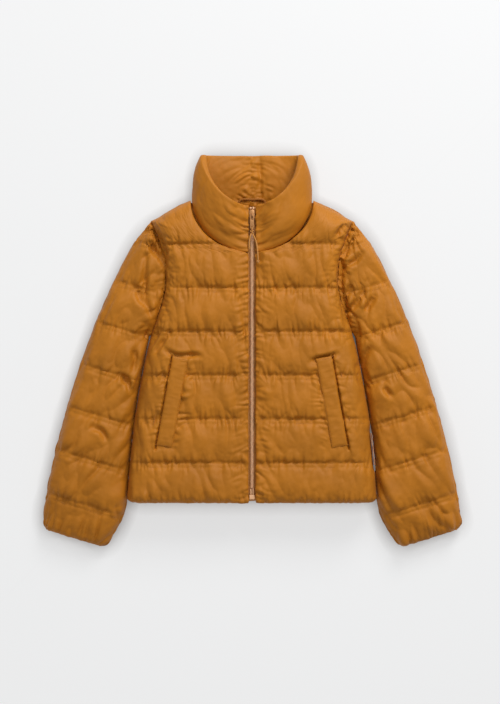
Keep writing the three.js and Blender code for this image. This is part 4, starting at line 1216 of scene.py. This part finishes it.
def teeth_row(name, side, pitch):
    tooth, tooth_faces = one_tooth(pitch)
    start = TEETH_LOW.y + pitch / 2 + (0 if side > 0 else pitch / 2)
    places = np.arange(start, TEETH_HIGH.y - pitch / 3, pitch)
    centre = np.array([0, 0, (TEETH_LOW.z + TEETH_HIGH.z) / 2])
    points, faces = [], []
    for k, y in enumerate(places):
        points.append(tooth * (side, 1, 1) + centre + np.array([0, y, 0]))
        faces += [[i + k * len(tooth) for i in face] for face in tooth_faces]
    piece = new_object(name, np.concatenate(points), faces)
    tidy_normals(piece)
    select_only(piece)
    bpy.ops.object.shade_smooth_by_angle(angle=0.6)
    return piece


class JACKET_OT_zip(bpy.types.Operator):
    """Zip tapes, interlocked teeth, end stops, pin and retainer box"""

    bl_idname = "jacket.zip"
    bl_label = "Zip"

    def execute(self, context):
        look = context.scene.jacket_look
        for side, name in ((1, "left"), (-1, "right")):
            low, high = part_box(f"{name}_zip_tape")
            tape = rounded_block(f"{name}_tape", low, high, 0.0002)
            settle(tape, "jacket", "tape", [f"{name}_zip_tape"])
            settle(teeth_row(f"{name}_teeth", side, look.tooth_pitch), "jacket", "teeth",
                   [f"{name}_zip_teeth"])
            low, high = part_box(f"{name}_zip_top_stop")
            settle(rounded_block(f"{name}_stop", low, high, 0.0006), "jacket", "teeth",
                   [f"{name}_zip_top_stop"])
        for name in ("zip_insertion_pin", "zip_box_pin", "zip_retainer_box"):
            low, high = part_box(name)
            settle(rounded_block(name + "_round", low, high, 0.0006), "jacket", "teeth", [name])
        return {"FINISHED"}


SLIDER_LOW, SLIDER_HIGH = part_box("zip_slider")
PULL_LOW, PULL_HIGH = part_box("zip_pull")
TAB_Z = (PULL_LOW.z + PULL_HIGH.z) / 2
PIVOT = Vector((0, PULL_HIGH.y - 0.0008, TAB_Z))


def extruded(name, outline, z_low, z_high, bevel):
    """An upright prism over an outline, with its rims bevelled."""
    size = len(outline)
    points = [(x, y, z) for z in (z_low, z_high) for x, y in outline]
    faces = [[i, (i + 1) % size, size + (i + 1) % size, size + i] for i in range(size)]
    faces += [list(range(size))[::-1], [size + i for i in range(size)]]
    piece = new_object(name, points, faces)
    tidy_normals(piece)
    if bevel:
        apply_modifier(piece, "BEVEL", width=bevel, segments=2, limit_method="ANGLE", angle_limit=0.7)
    return piece


def join(name, parts):
    for other in bpy.context.view_layer.objects:
        other.select_set(False)
    for part in parts:
        part.select_set(True)
    bpy.context.view_layer.objects.active = parts[0]
    bpy.ops.object.join()
    whole = bpy.context.object
    whole.name = whole.data.name = name
    bpy.ops.object.shade_smooth_by_angle(angle=0.7)
    return whole


def slider():
    """Two shield-shaped plates joined by a post, with an arched bridge for the pull."""
    low, high = SLIDER_LOW.y, SLIDER_HIGH.y
    wide = SLIDER_HIGH.x
    shield = [(wide * 0.72, low), (wide, low + 0.006), (wide, high - 0.004), (wide * 0.55, high),
              (-wide * 0.55, high),
              (-wide, high - 0.004), (-wide, low + 0.006), (-wide * 0.72, low)]
    top_low, top_high = TEETH_HIGH.z + 0.0005, TEETH_HIGH.z + 0.0023
    parts = [extruded("plate", shield, top_low, top_high, 0.0005),
             extruded("plate", shield, SLIDER_LOW.z, SLIDER_LOW.z + 0.0018, 0.0005),
             rounded_block("post", (-0.0004, (low + high) / 2, SLIDER_LOW.z + 0.001),
                           (0.0004, high, top_low + 0.001),
                           0.0001)]
    middle = (low + high) / 2
    turn = np.linspace(0, np.pi, 13)
    arch = np.stack([0 * turn, middle + 0.0039 * np.cos(turn),
                     top_high - 0.0004 + 0.0043 * np.sin(turn) ** 0.6], -1)
    ring = np.linspace(0, 2 * np.pi, 10, endpoint=False)

    def section(k):
        radial = Vector((0, arch[k][1] - middle, arch[k][2] - top_high)).normalized()
        return np.outer(np.cos(ring), (0.0013, 0, 0)) + np.outer(np.sin(ring), np.array(radial) * 0.00065)

    parts.append(ribbon("bridge", arch, section))
    return join("slider", parts)


def pull_tab():
    """A thin tab whose eye goes round the bridge and whose hole takes the cord."""
    half = PULL_HIGH.x
    hole_y = PULL_LOW.y + half
    turn = np.linspace(np.pi, 2 * np.pi, 13)
    outline = [(half, PULL_HIGH.y), (-half, PULL_HIGH.y)]
    outline += [(half * math.cos(t), hole_y + half * math.sin(t)) for t in turn]
    tab = extruded("pull", outline, PULL_LOW.z, PULL_HIGH.z, 0)
    eye = rounded_block("eye", (-0.0022, PULL_HIGH.y - 0.0082, PULL_LOW.z - 0.002),
                        (0.0022, PULL_HIGH.y - 0.0016, PULL_HIGH.z + 0.002), 0.0004)
    bpy.ops.object.select_all(action="DESELECT")
    bpy.ops.mesh.primitive_cylinder_add(vertices=20, radius=0.0019, depth=0.006, location=(0, hole_y, TAB_Z))
    hole = bpy.context.object
    for cutter in (eye, hole):
        apply_modifier(tab, "BOOLEAN", operation="DIFFERENCE", solver="EXACT", object=cutter)
        bpy.data.objects.remove(cutter)
    apply_modifier(tab, "BEVEL", width=0.0003, segments=2, limit_method="ANGLE", angle_limit=0.7)
    select_only(tab)
    bpy.ops.object.shade_smooth_by_angle(angle=0.7)
    return tab


class JACKET_OT_slider(bpy.types.Operator):
    """The zip's slider and its pull"""

    bl_idname = "jacket.slider"
    bl_label = "Slider and pull"

    def execute(self, context):
        settle(slider(), "slider", "metal", ["zip_slider"])
        settle(pull_tab(), "pull", "metal", ["zip_pull"])
        return {"FINISHED"}


# ---------------------------------------------------------------- cord on the pull

CORD_RADIUS = 0.0015
LONG_END = [(1.8, -34.8, 1.3), (4, -41, 3.4), (7.6, -49, 3.6), (9.8, -59, 3.6), (11, -69, 3.6),
            (11.6, -79, 3.6),
            (12.2, -88, 3.6)]
SHORT_END = [(-1.8, -34.8, 1.3), (-3.6, -41, 3.3), (-5, -48, 3.6), (-5.4, -57, 3.6), (-4.6, -66, 3.6)]


def cord_curve(name, points, radius, body, replaces=()):
    curve = bpy.data.curves.new(name, "CURVE")
    curve.dimensions = "3D"
    curve.bevel_depth = radius
    curve.bevel_resolution = 3
    curve.use_fill_caps = True
    spline = curve.splines.new("POLY")
    spline.points.add(len(points) - 1)
    for point, at in zip(spline.points, points):
        point.co = (*at, 1)
    piece = bpy.data.objects.new(name, curve)
    bpy.context.collection.objects.link(piece)
    settle(piece, body, "cord", replaces)
    return piece


def knot(name, centre, size, replaces):
    """An overhand knot: a trefoil of cord pulled tight."""
    turn = np.linspace(0, 2 * np.pi, 72, endpoint=False)
    path = np.stack([(np.sin(turn) + 1.5 * np.sin(2 * turn)) * size * 0.36,
                     (np.cos(turn) - 1.5 * np.cos(2 * turn)) * size * 0.36,
                     -np.sin(3 * turn) * size * 0.34], -1) + np.array(centre)
    ring = np.linspace(0, 2 * np.pi, 8, endpoint=False)

    def section(k):
        way = Vector(path[(k + 1) % len(path)] - path[k - 1]).normalized()
        side = way.cross(Vector((0, 0, 1)))
        side = side.normalized() if side.length > 0.1 else Vector((1, 0, 0))
        up = side.cross(way)
        return (np.outer(np.cos(ring), side) + np.outer(np.sin(ring), up)) * CORD_RADIUS * 0.85

    piece = ribbon(name, path, section, closed_path=True)
    piece.data.polygons.foreach_set("use_smooth", np.ones(len(piece.data.polygons), bool))
    settle(piece, "pull", "cord", replaces)
    return piece


class JACKET_OT_cord(bpy.types.Operator):
    """The knotted cord that hangs from the pull"""

    bl_idname = "jacket.cord"
    bl_label = "Pull cord"

    def execute(self, context):
        origin = np.array(PIVOT)
        tip_low, tip_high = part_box("pull_cord_tip")
        tip = knot("cord_tip_knot", (tip_low + tip_high) / 2, 0.0024, ["pull_cord_tip"])
        knot_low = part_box("pull_knot")[0]
        knot("cord_head_knot", (0, knot_low.y + 0.0034, TAB_Z), 0.0034, ["pull_knot"])
        hole_y = PULL_LOW.y + PULL_HIGH.x
        reach = hole_y - knot_low.y - 0.0034
        turn = np.linspace(0, 2 * np.pi, 28, endpoint=False)
        bend = np.stack([0 * turn, hole_y - reach / 2 + reach / 2 * np.cos(turn),
                         TAB_Z + 0.0026 * np.sin(turn)], -1)
        ring = np.linspace(0, 2 * np.pi, 8, endpoint=False)

        def section(k):
            way = Vector(bend[(k + 1) % len(bend)] - bend[k - 1]).normalized()
            up = Vector((1, 0, 0)).cross(way)
            return (np.outer(np.cos(ring), (1, 0, 0)) + np.outer(np.sin(ring), up)) * CORD_RADIUS * 0.7

        loop = ribbon("cord_through_pull", bend, section, closed_path=True)
        loop.data.polygons.foreach_set("use_smooth", np.ones(len(loop.data.polygons), bool))
        settle(loop, "pull", "cord")
        for name, points, far_end, extra in (("pull_cord_long", LONG_END, "knot", [tip]),
                                             ("pull_cord_short", SHORT_END, "bare", [])):
            path = through(np.array(points) / 1000, 24) + origin
            piece = cord_curve(name[5:] + "_end", path, CORD_RADIUS, "pull", [name])
        return {"FINISHED"}


# ---------------------------------------------------------------- loop and label


def flat_band(name, path, wide, thick, across):
    """A ribbon of cloth along a path, with its width along the given direction at each point."""
    across = np.asarray(across, float)
    corners = [(-1, -1), (0, -1.15), (1, -1), (1, 1), (0, 1.15), (-1, 1)]

    def section(k):
        way = Vector(path[min(k + 1, len(path) - 1)] - path[max(k - 1, 0)]).normalized()
        width = Vector(across[k] if across.ndim > 1 else across).normalized()
        up = way.cross(width).normalized()
        return np.array([np.array(width) * a * wide / 2 + np.array(up) * b * thick / 2 for a, b in corners])

    piece = ribbon(name, path, section)
    refine(piece)
    return piece


class JACKET_OT_trims(bpy.types.Operator):
    """The hanger loop inside the neck and the blank label in the side seam"""

    bl_idname = "jacket.trims"
    bl_label = "Loop and label"

    def execute(self, context):
        low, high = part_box("hanger_loop")
        rise = (high.z - low.z - 0.0015) / (high.y - low.y)
        half, tall = high.x - 0.0025, high.y - low.y - 0.0025
        corners = [(-half, 0), (-half * 0.92, tall * 0.55), (-half * 0.72, tall), (0, tall * 1.02),
                   (half * 0.72, tall),
                   (half * 0.92, tall * 0.55), (half, 0)]
        path = through([(x, low.y + y, low.z + 0.0012 + y * rise) for x, y in corners], 60)
        ways = np.gradient(path, axis=0)
        across = np.cross(ways, (0, -rise, 1))
        band = flat_band("neck_loop", path, 0.0042, 0.0012, across)
        settle(band, "loop", "rib", ["hanger_loop"])
        low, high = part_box("side_label")
        lean = (high.x - low.x - 0.0028) / (high.y - low.y)
        turn = np.linspace(0, np.pi, 9)
        leaf = [(0.0, 0.0), (0.0, 0.0095)] + [(0.001 - 0.001 * math.cos(t),
                                               0.0095 + 0.0022 * math.sin(t)) for t in turn[1:]]
        leaf += [(0.002, 0.0)]
        outline = [(x - 0.0002, z) for x, z in leaf] + [(x + 0.0004 * (1 if x < 0.001 else -1), z * 0.93)
                                                       for x, z in reversed(leaf)]
        rings = 24
        points, faces = [], []
        for k in range(rings):
            y = lerp(high.y, low.y, k / (rings - 1))
            wave = 0.0006 * math.sin(k * 0.7)
            for x, z in outline:
                points.append((low.x + 0.0006 + x + (high.y - y) * lean + wave * z / 0.01, y,
                               low.z + 0.0004 + z))
        size = len(outline)
        for k in range(rings - 1):
            faces += [[k * size + i, k * size + (i + 1) % size, (k + 1) * size + (i + 1) % size,
                       (k + 1) * size + i]
                      for i in range(size)]
        faces += [list(range(size))[::-1], [(rings - 1) * size + i for i in range(size)]]
        label = new_object("seam_label", points, faces)
        tidy_normals(label)
        select_only(label)
        bpy.ops.object.shade_smooth_by_angle(angle=0.9)
        settle(label, "jacket", "label", ["side_label"])
        return {"FINISHED"}


# ---------------------------------------------------------------- stage


class JACKET_OT_stage(bpy.types.Operator):
    """Camera, pale glowing floor with a painted contact shadow round the jacket, and soft studio light"""

    bl_idname = "jacket.stage"
    bl_label = "Stage"

    def execute(self, context):
        scene = context.scene
        stage = scene.jacket_stage
        camera_data = bpy.data.cameras.new("camera")
        camera_data.lens = stage.lens
        camera_data.sensor_width = 36
        camera_data.clip_end = 50
        camera = bpy.data.objects.new("camera", camera_data)
        scene.collection.objects.link(camera)
        camera.location = (stage.aim_x, stage.aim_y, 0.05 + stage.view_height * stage.lens / 36)
        scene.camera = camera
        select = [o for o in context.view_layer.objects if o.select_get()]
        for other in select:
            other.select_set(False)
        bpy.ops.mesh.primitive_plane_add(size=12, location=(0, 0, -0.0002))
        floor = context.object
        floor.name = "floor"
        bpy.ops.object.transform_apply(location=True, rotation=True, scale=True)
        material, shader = new_material("pale floor", 0.9, specular=0.1)
        # The floor glows, which is painted light that lifts the shadows on it. Ambient occlusion dims that glow
        # near the jacket, which paints a contact shadow round it and painted shade in the gap between sleeve
        # and body.
        shader.inputs["Base Color"].default_value = (*(np.array(stage.floor) * (1 - stage.glow)), 1)
        shader.inputs["Emission Color"].default_value = (*stage.floor, 1)
        tree = material.node_tree
        painted_contact_shade = tree.nodes.new("ShaderNodeAmbientOcclusion")
        painted_contact_shade.inputs["Distance"].default_value = 0.035
        share = tree.nodes.new("ShaderNodeMath")
        share.operation = "MULTIPLY"
        share.inputs[1].default_value = stage.glow
        tree.links.new(painted_contact_shade.outputs["AO"], share.inputs[0])
        tree.links.new(share.outputs[0], shader.inputs["Emission Strength"])
        floor.data.materials.append(material)
        for name, where, size, power in (("key", (1.1, 2.6, 2.2), 1.5, stage.key),
                                         ("fill", (-2.2, 0.4, 2.4), 2.5, stage.fill),
                                         ("top", (0.3, 0.6, 3.4), 3.0, stage.top)):
            light_data = bpy.data.lights.new(name, "AREA")
            light_data.size = size
            light_data.energy = power
            light = bpy.data.objects.new(name, light_data)
            light.location = where
            light.rotation_euler = (Vector((0, 0, 0)) - Vector(where)).to_track_quat("-Z", "Y").to_euler()
            scene.collection.objects.link(light)
        world = bpy.data.worlds.new("world")
        world.use_nodes = True
        world.node_tree.nodes["Background"].inputs["Color"].default_value = (1, 1, 1, 1)
        world.node_tree.nodes["Background"].inputs["Strength"].default_value = stage.sky
        scene.world = world
        scene.view_settings.view_transform = "Standard"
        return {"FINISHED"}


# ---------------------------------------------------------------- settings


class JacketLook(bpy.types.PropertyGroup):
    grid: FloatProperty(name="Cloth grid", description="Distance between the points of the shell cloth",
                        default=0.0042, min=0.002, unit="LENGTH")
    back_grid: FloatProperty(name="Back grid", description="Distance between the points of the back's cloth",
                             default=0.0055, min=0.002, unit="LENGTH")
    pressure: FloatProperty(name="Padding pressure", description="How hard the wadding pushes the shell out",
                            default=3.0)
    fullness: FloatProperty(name="Fullness",
                            description="Share by which the shell is cut wider than its seams",
                            default=0.15, subtype="FACTOR")
    length_fullness: FloatProperty(name="Fullness along", description="Share by which it is cut longer",
                                   default=0.035, subtype="FACTOR")
    sag: FloatProperty(name="Sag", description="How far the padding pulls the shell towards the hem",
                       default=0.01)
    stiffness: FloatProperty(name="Stiffness", description="Resistance of the shell to stretch", default=8.0)
    bending: FloatProperty(name="Bending", description="Resistance of the shell to folds", default=0.05)
    steps: IntProperty(name="Cloth steps", description="Steps of the cloth simulation", default=18, min=1)
    lumps: FloatProperty(name="Lumps", description="How unevenly the channels are filled", default=0.45,
                         subtype="FACTOR")
    pucker: FloatProperty(name="Puckers", description="Depth of the small folds at the quilting",
                          default=0.0030,
                          unit="LENGTH")
    fold: FloatProperty(name="Large folds", description="Depth of the folds at the armholes and pockets",
                        default=0.0078, unit="LENGTH")
    gather: FloatProperty(name="Cuff gathers",
                          description="Depth of the folds that the elastic draws at the cuffs",
                          default=0.0040, unit="LENGTH")
    crease: FloatProperty(name="Creases", description="Depth of the slow folds", default=0.0026,
                          unit="LENGTH")
    stitch: FloatProperty(name="Stitch", description="Length of one stitch", default=0.0034, unit="LENGTH")
    thread: FloatProperty(name="Thread", description="Half the thickness of the thread", default=0.00022,
                          unit="LENGTH")
    tooth_pitch: FloatProperty(name="Zip pitch", description="Distance between the teeth on one tape",
                               default=0.0023,
                               unit="LENGTH")


def colour(name, text, default):
    return FloatVectorProperty(name=name, description=text, default=default, subtype="COLOR", size=3, min=0,
                               max=1)


class JacketColours(bpy.types.PropertyGroup):
    shell: colour("Shell", "Outer cloth", (0.455, 0.158, 0.006))
    lining: colour("Lining", "Inner cloth", (0.42, 0.15, 0.018))
    binding: colour("Binding", "Cuff binding", (0.40, 0.14, 0.016))
    tape: colour("Zip tape", "Woven tape", (0.44, 0.19, 0.05))
    thread: colour("Thread", "Sewing thread", (0.48, 0.19, 0.03))
    cord: colour("Cord", "Cord on the pull", (0.52, 0.23, 0.05))
    label: colour("Label", "Blank label", (0.50, 0.26, 0.14))
    teeth: colour("Zip teeth", "Moulded teeth", (0.85, 0.50, 0.27))
    metal: colour("Zip metal", "Slider and pull", (0.47, 0.22, 0.075))


class JacketStage(bpy.types.PropertyGroup):
    lens: FloatProperty(name="Lens", description="Focal length in millimetres", default=110)
    view_height: FloatProperty(name="View height", description="Height of the picture at the jacket",
                               default=1.408,
                               unit="LENGTH")
    aim_x: FloatProperty(name="Aim X", description="Middle of the picture", default=-0.004, unit="LENGTH")
    aim_y: FloatProperty(name="Aim Y", description="Middle of the picture", default=-0.004, unit="LENGTH")
    floor: colour("Floor", "Pale floor", (0.90, 0.903, 0.906))
    key: FloatProperty(name="Key light", description="Light from the upper right", default=103, unit="POWER")
    fill: FloatProperty(name="Fill light", description="Soft light from the left", default=4, unit="POWER")
    top: FloatProperty(name="Top light", description="Broad light from above", default=10, unit="POWER")
    # The floor's glow is painted light. Ambient occlusion dims it near the jacket into a painted contact
    # shadow.
    glow: FloatProperty(name="Floor's glow", description="Share of the floor's brightness that shadows leave",
                        default=0.7)
    sky: FloatProperty(name="Sky", description="Light from all round", default=0.36)


STEPS = ["stage", "cord", "panels", "edges", "pockets", "zip", "slider", "trims"]


class JACKET_PT_sidebar(bpy.types.Panel):
    bl_idname = "JACKET_PT_sidebar"
    bl_label = "Quilted Jacket"
    bl_space_type = "VIEW_3D"
    bl_region_type = "UI"
    bl_category = "Jacket"

    def draw(self, context):
        for step in STEPS:
            self.layout.operator(f"jacket.{step}")
        for group in (context.scene.jacket_look, context.scene.jacket_colours, context.scene.jacket_stage):
            box = self.layout.box()
            for name in group.__annotations__:
                box.prop(group, name)


CLASSES = [JacketLook, JacketColours, JacketStage, JACKET_OT_stage, JACKET_OT_cord, JACKET_OT_panels,
           JACKET_OT_edges,
           JACKET_OT_pockets, JACKET_OT_zip, JACKET_OT_slider, JACKET_OT_trims, JACKET_PT_sidebar]


def register():
    for cls in CLASSES:
        bpy.utils.register_class(cls)
    bpy.types.Scene.jacket_look = PointerProperty(type=JacketLook)
    bpy.types.Scene.jacket_colours = PointerProperty(type=JacketColours)
    bpy.types.Scene.jacket_stage = PointerProperty(type=JacketStage)


def unregister():
    del bpy.types.Scene.jacket_look, bpy.types.Scene.jacket_colours, bpy.types.Scene.jacket_stage
    for cls in reversed(CLASSES):
        bpy.utils.unregister_class(cls)


def main():
    register()
    for step in STEPS:
        getattr(bpy.ops.jacket, step)()


if __name__ == "__main__":
    main()
